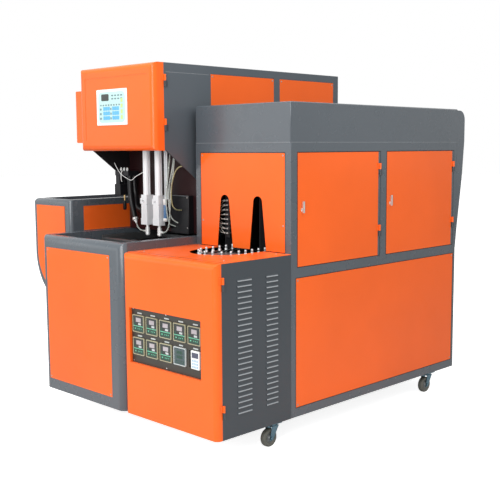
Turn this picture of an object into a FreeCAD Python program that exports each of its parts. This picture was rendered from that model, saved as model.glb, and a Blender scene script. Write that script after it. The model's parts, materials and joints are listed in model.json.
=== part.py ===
"""Two-cavity stretch blow moulding machine with its preform oven, in millimetres.

+Z is up, the floor is Z = 0 and the origin is the middle of the footprint. The operator stands at -Y.
Left to right stand the pneumatics box, the mould bed with the blowing head over it, and the oven with
its control cabinet in front.
"""
import FreeCAD, Part
import math
import os
import re

import Sketcher
from FreeCAD import Placement, Rotation, Vector

os.makedirs("parts", exist_ok=True)
doc = FreeCAD.newDocument("blow_moulding_machine")

# ---------------------------------------------------------------- driving dimensions
SIZES = [
    ("seam", 0.5, "gap between cabinets that stand side by side"),
    ("fit_gap", 0.3, "clearance between parts that move past each other"),
    ("run_gap", 0.05, "radial play of a pin or shaft in its bearing"),
    ("skin", 3, "sheet thickness of panels, lids and trays"),
    ("caster_tall", 130, "floor to the underside of the frames"),
    # oven
    ("oven_wide", 751, "oven and control cabinet, left to right"),
    ("oven_deep", 1610, "oven, front to back"),
    ("oven_tall", 1491, "oven frame without its hood"),
    ("hood_tall", 213, "exhaust hood over the oven"),
    ("hood_edge", 8, "rounding of the hood's edges"),
    ("post_wide", 30, "wall of the oven frame"),
    ("cowl_out", 90, "how far the rear cowl stands out"),
    ("cowl_low", 800, "lower end of the cowl over the frame's underside"),
    ("cowl_knee", 1500, "height where the cowl is at its deepest"),
    ("cowl_round", 60, "rounding along the top of the cowl"),
    ("door_low", 826, "lower edge of the oven doors over the frame's underside"),
    ("door_tall", 610, "oven door height"),
    ("door_wide", 710, "oven door width"),
    ("door_first", 52, "oven front to the first door"),
    ("door_step", 794, "first door to the second"),
    ("door_thick", 20, "depth of the oven door pans"),
    ("door_gap", 2, "gap round a door in its opening"),
    ("lower_panel_tall", 712, "lower side panel height"),
    ("lower_panel_low", 53, "lower side panel over the frame's underside"),
    ("lower_panel_in", 39, "oven front to the lower side panel"),
    ("lower_panel_wide", 1545, "lower side panel, front to back"),
    ("rebate_edge", 12, "width of the ledge a panel lies on"),
    ("front_panel_side", 44, "oven corner to the orange front panel"),
    ("front_panel_top", 56, "oven frame top down to the front panel"),
    ("front_gap_low", 120, "how far the preform gate reaches below the table top"),
    ("slot_low_half", 64, "half width of a preform slot at the table"),
    ("slot_top_half", 34.5, "half width of a preform slot where its arch starts"),
    ("slot_rise", 265, "table top to the start of the slot's arch"),
    # control cabinet
    ("cabinet_deep", 510, "control cabinet, front to back"),
    ("table_drop", 47, "bed rim down to the table top"),
    ("cabinet_sheet", 3, "sheet of the control cabinet"),
    ("table_thick", 4, "table plate"),
    ("table_hole", 180, "radius of the loading opening in the table"),
    ("control_door_thick", 38, "depth of the control door pan"),
    ("control_door_round", 30, "bullnose round the control door"),
    ("window_in", 51, "left edge of the control door to its window"),
    ("window_wide", 586, "instrument window width"),
    ("window_low", 294, "instrument window over the frame's underside"),
    ("window_tall", 309, "instrument window height"),
    ("tray_deep", 18, "how far the instrument panel lies behind the door face"),
    ("tray_edge", 15, "how far the instrument tray reaches past the window"),
    ("gauge_face", 96, "front of a panel instrument"),
    ("gauge_case", 90, "case of a panel instrument behind the panel"),
    ("gauge_deep", 60, "depth of an instrument case"),
    ("gauge_rim", 8, "bezel of an instrument"),
    ("gauge_step", 114, "instrument spacing across"),
    ("gauge_rise", 125, "instrument spacing up"),
    ("gauge_low", 97, "window bottom to the middle of the lower instruments"),
    ("louvre_step", 28.4, "louvre spacing"),
    ("louvre_low", 115, "lowest louvre over the frame's underside"),
    ("louvre_tall", 12, "height of a louvre hood"),
    ("louvre_out", 5, "how far a louvre hood stands out"),
    ("louvre_count", 25, "louvres in a column"),
    ("louvre_front", 105, "cabinet front to the first louvre column"),
    ("louvre_back", 315, "cabinet front to the second louvre column"),
    ("louvre_wide", 106, "length of a louvre in the first column"),
    ("louvre_short", 92, "length of a louvre in the second column"),
    # bed
    ("bed_wide", 796.5, "mould bed, left to right"),
    ("bed_deep", 1910, "mould bed, front to back"),
    ("bed_tall", 947, "mould bed height without casters"),
    ("bed_step", 48, "how far the bed stands in front of the control cabinet"),
    ("bed_wall", 50, "box section of the bed's walls"),
    ("bed_round", 46, "bullnose of the bed's front corners and rim"),
    ("bed_deck", 400, "deck that carries the clamp, over the frame's underside"),
    ("deck_thick", 20, "clamp deck"),
    ("bed_post", 108, "right corner of the bed to its front panel"),
    ("bed_post_left", 53, "left corner of the bed to its front panel"),
    ("bed_panel_low", 64, "front panel over the frame's underside"),
    ("bed_panel_top", 73, "bed rim down to the front panel"),
    # side box
    ("box_wide", 401.5, "pneumatics box, left to right"),
    ("box_deep", 1100, "pneumatics box, front to back"),
    ("box_back_step", 208, "bed front to the front of the pneumatics box"),
    ("box_top", 1146, "rim of the pneumatics box over the frame's underside"),
    ("box_low", 470, "underside of the pneumatics box over the frame's underside"),
    ("box_sweep", 330, "radius of the box's rounded lower left side"),
    ("box_wall", 40, "wall of the pneumatics box"),
    ("box_round", 26, "bullnose of the box"),
    ("box_panel_top", 42, "rim of the box down to its panels"),
    ("tank_round", 120, "radius of the air receiver"),
    ("tank_long", 800, "length of the air receiver"),
    # head
    ("column_set", 648, "bed front to the front of the column"),
    ("head_reach", 292, "how far the head's cheeks reach in front of the column"),
    ("head_lip", 12, "level length under the front of a cheek"),
    ("head_lift", 503, "bed rim to the underside of the head"),
    ("head_tall", 497, "head height"),
    ("gusset_low", 294, "bed rim to the lower end of the cheek's slope"),
    ("cheek_in", 37, "bed side to the head's cheek"),
    ("cheek", 10, "thickness of the head's cheeks"),
    ("head_panel_front", 71, "column front to the first side panel of the head"),
    ("head_panel_wide", 546, "first side panel of the head"),
    ("head_panel_gap", 56, "strip between the head's side panels"),
    ("head_panel_second", 536, "second side panel of the head"),
    ("head_panel_tall", 399, "side panels of the head, height"),
    ("head_panel_top", 48, "head top down to its side panels"),
    ("head_door_thick", 77, "depth of the head door pan"),
    ("head_door_round", 34, "bullnose round the head door"),
    ("field_in", 62, "edge of the head door to its pressed field"),
    ("field_deep", 1.5, "depth of the pressed field"),
    ("keypad_wide", 298, "keypad width"),
    ("keypad_tall", 211, "keypad height"),
    ("keypad_thick", 2.5, "keypad thickness"),
    ("keypad_in", 183, "left edge of the head door to the keypad"),
    ("keypad_low", 152, "lower edge of the head door to the keypad"),
    ("cover_out", 180, "how far the left cover stands out of the head"),
    ("cover_deep", 620, "left cover, front to back"),
    ("cover_low", 50, "head underside to the left cover"),
    ("cover_tall", 324, "left cover height"),
    ("cover_round", 40, "rounding of the left cover"),
    # blowing stations
    ("cavity_step", 116, "spacing of the two cavities"),
    ("station_out", 93, "column front to the line of the cavities"),
    ("station_plate", 20, "plate that carries the blowing cylinders"),
    ("station_half", 70, "half depth of that plate"),
    ("station_lift", 8, "head underside to the plate"),
    ("barrel_round", 23.5, "radius of a stretch cylinder"),
    ("barrel_up", 80, "how far a stretch cylinder stands over its plate"),
    ("flange_face", 63, "square flange between the cylinders"),
    ("flange_low", 174, "bed rim to the underside of the flange"),
    ("flange_thick", 34, "flange thickness"),
    ("seal_face", 55, "square body of a sealing cylinder"),
    ("seal_tall", 90, "body of a sealing cylinder"),
    ("block_face", 60, "square end block of a sealing cylinder"),
    ("block_tall", 40, "end block of a sealing cylinder"),
    ("nozzle_round", 14.5, "radius of a blow nozzle"),
    ("nozzle_tall", 48, "visible barrel of a blow nozzle"),
    ("nozzle_drop", 64, "travel of a blow nozzle"),
    ("stem_round", 10, "radius of a nozzle's stem"),
    ("stem_up", 120, "nozzle stem inside its cylinder"),
    ("elbow_out", 30, "reach of a nozzle's hose elbow"),
    ("elbow_round", 6, "radius of a nozzle's hose elbow"),
    ("stretch_round", 5, "radius of a stretch rod"),
    ("stretch_travel", 300, "travel of the stretch rods"),
    ("bar_tall", 25, "height of the crossbar that ties the stretch rods"),
    ("bar_half", 22, "half depth of the crossbar"),
    ("guide_round", 11, "radius of the guide shaft between the cavities"),
    ("pipe_round", 8, "radius of the drop pipes"),
    ("pipe_step", 19, "spacing of the drop pipes"),
    ("pipe_first", 122, "middle of the head to the first drop pipe"),
    ("valve_box_wide", 168, "valve box width"),
    ("valve_box_tall", 230, "valve box height"),
    ("valve_box_deep", 40, "valve box depth"),
    ("valve_box_in", 90, "right cheek to the valve box"),
    # clamp
    ("platen_thick", 40, "clamp platens"),
    ("platen_gap", 7, "bed wall to the edge of a platen"),
    ("guard_thick", 6, "guard plates beside the clamp"),
    ("platen_drop", 47, "bed rim down to the top of the platens"),
    ("mould_wide", 300, "mould width"),
    ("mould_tall", 300, "mould height"),
    ("mould_half", 110, "thickness of a mould half"),
    ("mould_top", 87, "bed rim down to the top of the mould"),
    ("bottle_round", 42, "radius of a bottle cavity"),
    ("bottle_body", 190, "straight part of a bottle cavity"),
    ("bottle_shoulder", 50, "shoulder of a bottle cavity"),
    ("neck_round", 15, "radius of the neck in the mould"),
    ("bottle_floor", 25, "mould underside to the bottle's base"),
    ("clamp_travel", 180, "opening stroke of the clamp"),
    ("tie_round", 22.5, "radius of a tie bar"),
    ("tie_side", 230, "middle to a tie bar, sideways"),
    ("tie_rise", 150, "middle to a tie bar, upwards"),
    ("ram_round", 80, "radius of the clamp cylinder"),
    ("ram_bore", 62, "bore of the clamp cylinder"),
    ("ram_rod", 30, "radius of the clamp piston rod"),
    ("ram_wall", 25, "end wall of the clamp cylinder"),
    ("rear_room", 130, "open moving platen to the rear plate"),
    ("piston_thick", 40, "clamp piston"),
    # conveyor
    ("chain_pitch", 50.8, "chain pitch"),
    ("teeth", 16, "teeth of a sprocket, an even number"),
    ("straight_links", 30, "links in one straight run"),
    ("sprocket_front", 145, "oven front to the axis of the front sprocket"),
    ("conveyor_in", 373, "left side of the oven to the middle of the conveyor"),
    ("roller_round", 8, "radius of a chain roller"),
    ("roller_tall", 10, "height of a chain roller"),
    ("plate_thick", 3, "chain side plates"),
    ("plate_half", 8, "half width of a chain side plate"),
    ("chain_drop", 16, "table top down to the top of the chain"),
    ("mandrel_tall", 29, "preform mandrel over the chain"),
    ("mandrel_foot", 8.5, "radius of a mandrel's foot"),
    ("mandrel_tip", 6.5, "radius of a mandrel's tip"),
    ("mandrel_neck", 10, "height of a mandrel's foot"),
    ("tooth_tall", 14, "radial length of a sprocket tooth"),
    ("tooth_half", 14, "half width of a tooth at its root"),
    ("tooth_tip_half", 8, "half width of a tooth at its tip"),
    ("sprocket_thick", 8, "sprocket thickness"),
    ("shaft_round", 15, "radius of a sprocket shaft"),
    ("shaft_long", 60, "sprocket shaft below the chain table"),
    ("hub_round", 36, "radius of a sprocket hub"),
    ("rail_plate", 8, "chain table"),
    ("rail_side", 40, "chain table past the chain"),
    ("rail_half", 10, "half width of a wear strip"),
    ("rail_tall", 12, "wear strip height"),
    ("beam_tall", 40, "cross beam under the chain table"),
    ("beam_step", 90, "oven front to its first cross beam"),
    ("beam_back", 270, "rear wall of the oven to its second cross beam"),
    ("gearbox", 120, "gearbox width"),
    ("gearbox_tall", 90, "gearbox height"),
    ("motor_round", 50, "motor radius"),
    ("motor_long", 180, "motor length"),
    # oven inside
    ("lamp_count", 8, "lamp tiers"),
    ("lamp_step", 27, "lamp tier spacing"),
    ("lamp_low", 75, "table top to the lowest lamp"),
    ("lamp_round", 5, "radius of a lamp"),
    ("lamp_side", 38, "chain to the lamps"),
    ("lamp_front", 65, "oven front to the lamps"),
    ("lamp_back", 345, "lamps to the oven's back"),
    ("terminal", 12, "lamp terminal, width and height"),
    ("terminal_long", 20, "lamp terminal length"),
    ("terminal_step", 24, "spacing of the two terminal rows"),
    ("reflector", 4, "reflector sheet"),
    ("reflector_side", 62, "chain to the outer reflector"),
    ("reflector_inner", 45, "chain to the inner reflector"),
    ("reflector_tall", 340, "reflector height"),
    # casters
    ("wheel_round", 50, "caster wheel radius"),
    ("wheel_wide", 34, "caster wheel width"),
    ("tread_round", 6, "rounding of a caster wheel's tread"),
    ("axle_round", 5, "radius of a caster axle"),
    ("caster_trail", 30, "swivel axis to the wheel's axle"),
    ("caster_plate", 76, "caster top plate"),
    ("caster_plate_thick", 6, "thickness of the caster's top plate"),
    ("fork_thick", 4, "caster fork sheet"),
    ("kingpin_round", 10, "radius of a caster's kingpin"),
    ("kingpin_tall", 12, "kingpin below the plate"),
    ("caster_in", 42, "side of a frame to the caster's swivel"),
    ("caster_front", 405, "cabinet front to the front casters"),
    ("caster_back", 1878, "cabinet front to the rear oven caster"),
    ("bed_caster_in", 60, "bed back to its rear caster"),
    # hinges, latches and screws
    ("knuckle_round", 6, "radius of a hinge knuckle"),
    ("knuckle_tall", 35, "height of one half of a hinge"),
    ("pin_round", 3.5, "radius of a hinge pin"),
    ("pin_up", 22, "hinge pin inside the upper knuckle"),
    ("leaf", 2.5, "hinge leaf"),
    ("leaf_wide", 22, "width of a hinge leaf"),
    ("hinge_in", 102, "upper end of a door to the middle of its hinge"),
    ("hinge_low", 146, "lower end of a door to the middle of its hinge"),
    ("latch_plate", 13, "radius of a latch rose"),
    ("latch_out", 12, "how far a latch stands out"),
    ("latch_half", 7, "half width of a latch lever"),
    ("latch_up", 46, "latch axis to the top of its lever"),
    ("latch_down", 16, "latch axis to the bottom of its lever"),
    ("latch_in", 39, "free edge of a door to its latch"),
    ("spindle_round", 6, "radius of a latch spindle"),
    ("screw_round", 5, "radius of a panel screw"),
    ("screw_out", 2, "height of a screw head"),
    ("screw_in", 14, "panel corner to its screw"),
    ("hose_round", 15, "radius of a black air hose"),
    ("tube_round", 4, "radius of a clear air tube"),
]

# Places that follow from the sizes: edges and heights of the big blocks, in the machine's frame.
PLACES = [
    ("full_wide", "oven_wide + seam + bed_wide + seam + box_wide + latch_out"),
    ("right_side", "full_wide / 2 - latch_out"),
    ("oven_left", "right_side - oven_wide"),
    ("bed_right", "oven_left - seam"),
    ("bed_left", "bed_right - bed_wide"),
    ("box_right", "bed_left - seam"),
    ("box_left", "box_right - box_wide"),
    ("full_deep", "screw_out + bed_step + cabinet_deep + oven_deep + cowl_out"),
    ("bed_front", "screw_out - full_deep / 2"),
    ("cabinet_front", "bed_front + bed_step"),
    ("oven_front", "cabinet_front + cabinet_deep"),
    ("oven_back", "oven_front + oven_deep"),
    ("cowl_back", "oven_back + cowl_out"),
    ("bed_back", "bed_front + bed_deep"),
    ("under", "caster_tall"),
    ("bed_rim", "under + bed_tall"),
    ("deck_top", "under + bed_deck"),
    ("table_top", "bed_rim - table_drop"),
    ("cabinet_top", "table_top - table_thick"),
    ("oven_top", "under + oven_tall"),
    ("hood_top", "oven_top + hood_tall"),
    ("box_front", "bed_front + box_back_step"),
    ("box_back", "box_front + box_deep"),
    ("box_rim", "under + box_top"),
    ("box_floor", "under + box_low"),
    ("column_front", "bed_front + column_set"),
    ("head_front", "column_front - head_reach"),
    ("head_under", "bed_rim + head_lift"),
    ("head_top", "head_under + head_tall"),
    ("head_left", "bed_left + cheek_in"),
    ("head_right", "bed_right - cheek_in"),
    ("head_mid", "(head_left + head_right) / 2"),
    ("station", "column_front - station_out"),
    ("plate_low", "head_under + station_lift"),
    ("plate_top", "plate_low + station_plate"),
    ("flange_under", "bed_rim + flange_low"),
    ("flange_top", "flange_under + flange_thick"),
    ("seal_under", "flange_under - seal_tall"),
    ("block_under", "seal_under - block_tall"),
    ("nozzle_top", "mould_over + nozzle_drop + nozzle_tall + 1"),
    ("nozzle_tip", "nozzle_top - nozzle_tall"),
    ("mould_over", "bed_rim - mould_top"),
    ("mould_under", "mould_over - mould_tall"),
    ("barrel_top", "plate_top + barrel_up"),
    ("bar_low", "barrel_top + stretch_travel + 20"),
    ("bar_top", "bar_low + bar_tall"),
    ("mould_face", "station"),
    ("front_mould", "mould_face - mould_half"),
    ("front_platen", "front_mould - platen_thick"),
    ("rear_face", "mould_face + clamp_travel"),
    ("rear_mould", "rear_face + mould_half"),
    ("rear_platen", "rear_mould + platen_thick"),
    ("end_plate", "rear_platen + clamp_travel + rear_room"),
    ("end_plate_back", "end_plate + platen_thick"),
    ("ram_back", "end_plate_back + clamp_travel + piston_thick + rear_room"),
    ("clamp_mid", "mould_over - mould_tall / 2"),
    ("platen_top", "bed_rim - platen_drop"),
    ("conveyor", "oven_left + conveyor_in"),
    ("pitch_round", "chain_pitch / 2 / sin(180 / teeth)"),
    ("wheel_front", "oven_front - sprocket_front"),
    ("wheel_back", "wheel_front + straight_links * chain_pitch"),
    ("chain_top", "table_top - chain_drop"),
    ("roller_top", "chain_top - 2 * plate_thick"),
    ("roller_under", "roller_top - roller_tall"),
    ("chain_under", "roller_under - 2 * plate_thick"),
    ("rail_top", "chain_under - fit_gap"),
    ("bed_plate_top", "rail_top - rail_tall"),
    ("bed_plate_under", "bed_plate_top - rail_plate"),
    ("rail_front", "wheel_front - pitch_round - rail_side"),
    ("front_panel_low", "table_top"),
    ("front_panel_high", "oven_top - front_panel_top"),
    ("oven_door_low", "under + door_low"),
    ("oven_door_high", "oven_door_low + door_tall"),
    ("slot_left", "conveyor - pitch_round"),
    ("slot_right", "conveyor + pitch_round"),
    ("control_low", "under"),
    ("control_high", "cabinet_top"),
    ("control_face", "cabinet_front - control_door_thick"),
    ("window_left", "oven_left + window_in"),
    ("window_right", "window_left + window_wide"),
    ("window_under", "under + window_low"),
    ("window_over", "window_under + window_tall"),
    ("tray_front", "control_face + skin"),
    ("tray_back", "tray_front + tray_deep"),
    ("door_face", "head_front - head_door_thick"),
    ("caster_left", "bed_left + caster_in"),
    ("caster_right", "right_side - caster_in"),
    ("bed_caster", "bed_back - bed_caster_in"),
    ("axle_high", "wheel_round"),
    ("plate_under", "under - caster_plate_thick"),
    ("fork_top", "plate_under - kingpin_tall"),
]

sizes = doc.addObject("Spreadsheet::Sheet", "Sizes")
for row, (name, value, note) in enumerate(SIZES, 1):
    sizes.set(f"A{row}", name)
    sizes.set(f"B{row}", str(value))
    sizes.set(f"C{row}", note)
    sizes.setAlias(f"B{row}", name)

SHEET_OF = {name: "Sizes" for name, _, _ in SIZES}
SHEET_OF.update({name: "Places" for name, _ in PLACES})


def named(text):
    """The text with each size's name led by the sheet that holds it."""
    return re.sub(r"[a-z_]+", lambda word: (
        f"{SHEET_OF[word.group()]}.{word.group()}" if word.group() in SHEET_OF else word.group()), text)


places = doc.addObject("Spreadsheet::Sheet", "Places")
for row, (name, formula) in enumerate(PLACES, 1):
    places.set(f"A{row}", name)
    places.setAlias(f"B{row}", name)
for row, (name, formula) in enumerate(PLACES, 1):
    places.set(f"B{row}", "=" + named(formula))
doc.recompute()


# ---------------------------------------------------------------- helpers
def bind(item, prop, text):
    item.setExpression(prop, named(text))


def amount(text):
    """What a formula of sizes comes to now, for picking edges and counting rows."""
    return float(sizes.evalExpression(named(text)))


def body(label, x="0", y="0", z="0"):
    item = doc.addObject("PartDesign::Body", label)
    item.Label = label
    for axis, text in zip("xyz", (x, y, z)):
        bind(item, f"Placement.Base.{axis}", text)
    return item


def block(item, name, x, y, z, cut=False):
    """A box from its low and high edges along X, Y and Z."""
    kind = "PartDesign::SubtractiveBox" if cut else "PartDesign::AdditiveBox"
    feature = item.newObject(kind, f"{item.Label}_{name}")
    for prop, axis, (low, high) in zip(("Length", "Width", "Height"), "xyz", (x, y, z)):
        bind(feature, prop, f"({high}) - ({low})")
        bind(feature, f"Placement.Base.{axis}", low)
    return feature


TURNS = {
    "x": Rotation(Vector(0, 1, 0), 90),
    "y": Rotation(Vector(1, 0, 0), -90),
    "z": Rotation(),
}


def bar(item, name, axis, middle, ends, radius, cut=False):
    """A round bar or hole along an axis; middle gives its other two coordinates in X, Y, Z order."""
    kind = "PartDesign::SubtractiveCylinder" if cut else "PartDesign::AdditiveCylinder"
    feature = item.newObject(kind, f"{item.Label}_{name}")
    feature.Placement = Placement(Vector(), TURNS[axis])
    bind(feature, "Radius", radius)
    bind(feature, "Height", f"({ends[1]}) - ({ends[0]})")
    bind(feature, f"Placement.Base.{axis}", ends[0])
    for other, text in zip([letter for letter in "xyz" if letter != axis], middle):
        bind(feature, f"Placement.Base.{other}", text)
    return feature


def facet_bar(item, name, sides, axis, middle, ends, radius, cut=False):
    """Like bar, but with flat sides, for small things that repeat many times."""
    kind = "PartDesign::SubtractivePrism" if cut else "PartDesign::AdditivePrism"
    feature = item.newObject(kind, f"{item.Label}_{name}")
    feature.Polygon = sides
    feature.Placement = Placement(Vector(), TURNS[axis])
    bind(feature, "Circumradius", radius)
    bind(feature, "Height", f"({ends[1]}) - ({ends[0]})")
    bind(feature, f"Placement.Base.{axis}", ends[0])
    for other, text in zip([letter for letter in "xyz" if letter != axis], middle):
        bind(feature, f"Placement.Base.{other}", text)
    return feature


def around(radius, sides):
    """The corner radius of a flat-sided hole that clears a round pin of this radius."""
    return f"({radius}) / cos({180 / sides})"


def cone(item, name, middle, ends, radii, cut=False):
    """An upright cone from its lower and upper radius."""
    kind = "PartDesign::SubtractiveCone" if cut else "PartDesign::AdditiveCone"
    feature = item.newObject(kind, f"{item.Label}_{name}")
    bind(feature, "Radius1", radii[0])
    bind(feature, "Radius2", radii[1])
    bind(feature, "Height", f"({ends[1]}) - ({ends[0]})")
    for axis, text in zip("xyz", (*middle, ends[0])):
        bind(feature, f"Placement.Base.{axis}", text)
    return feature


def taper(item, name, low, high, z, cut=False):
    """A block whose rectangle (x0, x1, y0, y1) changes from its lower to its upper face."""
    kind = "PartDesign::SubtractiveWedge" if cut else "PartDesign::AdditiveWedge"
    feature = item.newObject(kind, f"{item.Label}_{name}")
    feature.Placement = Placement(Vector(), Rotation(Vector(1, 0, 0), 90))
    bind(feature, "Ymin", z[0])
    bind(feature, "Ymax", z[1])
    for prefix, (left, right, front, back) in (("X", low), ("X2", high)):
        bind(feature, prefix + "min", left)
        bind(feature, prefix + "max", right)
    for prefix, (left, right, front, back) in (("Z", low), ("Z2", high)):
        bind(feature, prefix + "min", f"-({back})")
        bind(feature, prefix + "max", f"-({front})")
    return feature


def round_edges(item, name, feature, lines, radius, flat=False):
    """Fillet or, where flat, chamfer the edges of a feature that lie on the given lines.

    A line is a dict of one or two coordinates, in the sub-part's own frame.
    """
    doc.recompute()
    picked = []
    for number, edge in enumerate(feature.Shape.Edges, 1):
        for line in lines:
            if all(abs(getattr(vertex.Point, axis) - amount(text)) < 0.01
                   for vertex in edge.Vertexes for axis, text in line.items()):
                picked.append(f"Edge{number}")
                break
    edge_break = item.newObject("PartDesign::Chamfer" if flat else "PartDesign::Fillet", f"{item.Label}_{name}")
    edge_break.Base = (feature, picked)
    bind(edge_break, "Size" if flat else "Radius", radius)
    return edge_break


def origin_part(item, role):
    return next(part for part in item.Origin.OriginFeatures if part.Role == role)


def profile(item, name, points, reach, plane="YZ_Plane"):
    """An outline padded from one coordinate to another.

    On the YZ plane the corners are (y, z) and the reach is along X; on the XZ plane they are (x, z) and
    the reach is along Y, where the sketch faces -Y and so starts at the far end.
    """
    sketch = item.newObject("Sketcher::SketchObject", f"{item.Label}_{name}_outline")
    sketch.AttachmentSupport = (origin_part(item, plane), [""])
    sketch.MapMode = "FlatFace"
    bind(sketch, "AttachmentOffset.Base.z", reach[0] if plane == "YZ_Plane" else f"-({reach[1]})")
    corners = [Vector(amount(y), amount(z), 0) for y, z in points]
    for index, corner in enumerate(corners):
        sketch.addGeometry(Part.LineSegment(corner, corners[(index + 1) % len(corners)]))
    for index in range(len(corners)):
        sketch.addConstraint(Sketcher.Constraint("Coincident", index, 2, (index + 1) % len(corners), 1))
    for index, pair in enumerate(points):
        for kind, text in zip(("DistanceX", "DistanceY"), pair):
            number = sketch.addConstraint(Sketcher.Constraint(kind, -1, 1, index, 1, amount(text)))
            bind(sketch, f"Constraints[{number}]", text)
    pad = item.newObject("PartDesign::Pad", f"{item.Label}_{name}")
    pad.Profile = sketch
    bind(pad, "Length", f"({reach[1]}) - ({reach[0]})")
    return pad


def ledge_window(item, name, side, across, up, face, inward, wall):
    """A window with a rebate one sheet deep round it, for a panel that lies flush in the face.

    side is the axis the face looks along, face its coordinate and inward the sign of the way in.
    """
    for step, inset, deep in (("rebate", "0", "skin"), ("opening", "rebate_edge", wall)):
        reach = [f"{face} {inward} ({deep})", face]
        if inward == "+":
            reach.reverse()
        span = (f"{across[0]} + {inset}", f"{across[1]} - {inset}")
        rise = (f"{up[0]} + {inset}", f"{up[1]} - {inset}")
        x, y = (reach, span) if side == "x" else (span, reach)
        block(item, f"{name}_{step}", x, y, rise, cut=True)


def flush_panel(item, name, side, across, up, face, inward):
    """The sheet that fills such a rebate, with a hair of play all round."""
    reach = [f"{face} {inward} skin", face]
    if inward == "+":
        reach.reverse()
    span = (f"{across[0]} + fit_gap", f"{across[1]} - fit_gap")
    rise = (f"{up[0]} + fit_gap", f"{up[1]} - fit_gap")
    x, y = (reach, span) if side == "x" else (span, reach)
    return block(item, name, x, y, rise)


nodes = []


def keep(item):
    nodes.append(item)
    return item


# ---------------------------------------------------------------- mould bed
bed = keep(body("bed_frame"))
shell = block(bed, "shell", ("bed_left", "bed_right"), ("bed_front", "bed_back"), ("under", "bed_rim"))
round_edges(bed, "bullnose", shell, [
    {"x": "bed_left", "y": "bed_front"},
    {"x": "bed_right", "y": "bed_front"},
    {"y": "bed_front", "z": "bed_rim"},
], "bed_round")
inside_x = ("bed_left + bed_wall", "bed_right - bed_wall")
inside_y = ("bed_front + bed_wall", "bed_back - bed_wall")
block(bed, "trough", inside_x, inside_y, ("deck_top", "bed_rim + 1"), cut=True)
block(bed, "undercroft", inside_x, inside_y, ("under - 1", "deck_top - deck_thick"), cut=True)
bed_panel_x = ("bed_left + bed_post_left", "bed_right - bed_post")
bed_panel_z = ("under + bed_panel_low", "bed_rim - bed_panel_top")
ledge_window(bed, "front", "y", bed_panel_x, bed_panel_z, "bed_front", "+", "bed_wall + 1")
back_panel_x = ("bed_left + bed_post", "bed_right - bed_post")
ledge_window(bed, "back", "y", back_panel_x, bed_panel_z, "bed_back", "-", "bed_wall + 1")
# the clamp deck crosses the windows again behind the panels
block(bed, "deck", inside_x, inside_y, ("deck_top - deck_thick", "deck_top"))

panels = keep(body("bed_panels"))
flush_panel(panels, "front", "y", bed_panel_x, bed_panel_z, "bed_front", "+")
flush_panel(panels, "back", "y", back_panel_x, bed_panel_z, "bed_back", "-")

# ---------------------------------------------------------------- pneumatics box
box = keep(body("side_box_frame"))
shell = block(box, "shell", ("box_left", "box_right"), ("box_front", "box_back"), ("box_floor", "box_rim"))
sweep = round_edges(box, "sweep", shell, [{"x": "box_left", "z": "box_floor"}], "box_sweep")
round_edges(box, "bullnose", sweep, [
    {"x": "box_right", "y": "box_front"},
    {"y": "box_front", "z": "box_rim"},
    {"x": "box_left", "z": "box_rim"},
], "box_round")
block(box, "tub", ("box_left + box_wall", "box_right - box_wall"), ("box_front + box_wall", "box_back - box_wall"),
      ("box_floor + box_sweep", "box_rim + 1"), cut=True)
box_side_y = ("box_front + bed_post - skin", "box_back - bed_post")
box_side_z = ("bed_rim + skin", "box_rim - box_panel_top")
ledge_window(box, "side", "x", box_side_y, box_side_z, "box_right", "-", "box_wall + 1")

panels = keep(body("side_box_panels"))
flush_panel(panels, "side", "x", box_side_y, box_side_z, "box_right", "-")
front = block(panels, "front", ("box_left + box_round", "box_right - bed_post_left"), ("box_front - skin", "box_front"),
              ("box_floor + bed_panel_low", "box_rim - box_panel_top"))
round_edges(panels, "front_sweep", front, [{"x": "box_left + box_round", "z": "box_floor + bed_panel_low"}],
            "box_sweep - bed_panel_low")

tank = keep(body("air_receiver"))
tank_x = "(box_left + box_right) / 2"
tank_z = "box_floor + box_sweep + tank_round + skin"
tank_ends = ("(box_front + box_back - tank_long) / 2", "(box_front + box_back + tank_long) / 2")
drum = facet_bar(tank, "drum", 16, "y", (tank_x, tank_z), tank_ends, "tank_round")
round_edges(tank, "heads", drum, [{"y": tank_ends[0]}, {"y": tank_ends[1]}], "tank_round / 3", flat=True)
for name, where in (("front_foot", f"{tank_ends[0]} + tank_round"), ("back_foot", f"{tank_ends[1]} - tank_round")):
    block(tank, name, (f"{tank_x} - tank_round / 2", f"{tank_x} + tank_round / 2"), (f"{where} - leaf", f"{where} + leaf"),
          ("box_floor + box_sweep", tank_z))

# ---------------------------------------------------------------- head and column
head = keep(body("head_frame"))
profile(head, "cheeks", [
    ("head_front", "head_under"),
    ("head_front + head_lip", "head_under"),
    ("column_front", "bed_rim + gusset_low"),
    ("column_front", "bed_rim"),
    ("bed_back", "bed_rim"),
    ("bed_back", "head_top"),
    ("head_front", "head_top"),
], ("head_left", "head_right"))
head_x = ("head_left + cheek", "head_right - cheek")
block(head, "hollow", head_x, ("head_front - 1", "bed_back - cheek"), ("bed_rim - 1", "head_top - cheek"), cut=True)
side_panels = (
    ("head_panel_front + column_front", "head_panel_front + column_front + head_panel_wide"),
    ("head_panel_front + column_front + head_panel_wide + head_panel_gap",
     "head_panel_front + column_front + head_panel_wide + head_panel_gap + head_panel_second"),
)
side_panel_z = ("head_top - head_panel_top - head_panel_tall", "head_top - head_panel_top")
for number, across in enumerate(side_panels, 1):
    ledge_window(head, f"right_{number}", "x", across, side_panel_z, "head_right", "-", "cheek + 1")
    ledge_window(head, f"left_{number}", "x", across, side_panel_z, "head_left", "+", "cheek + 1")
block(head, "station_plate", head_x, ("station - station_half", "station + station_half"), ("plate_low", "plate_top"))
for side, cavity in enumerate(("head_mid - cavity_step / 2", "head_mid + cavity_step / 2"), 1):
    bar(head, f"barrel_hole_{side}", "z", (cavity, "station"), ("plate_low - 1", "plate_top + 1"),
        "barrel_round + run_gap", cut=True)

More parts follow.
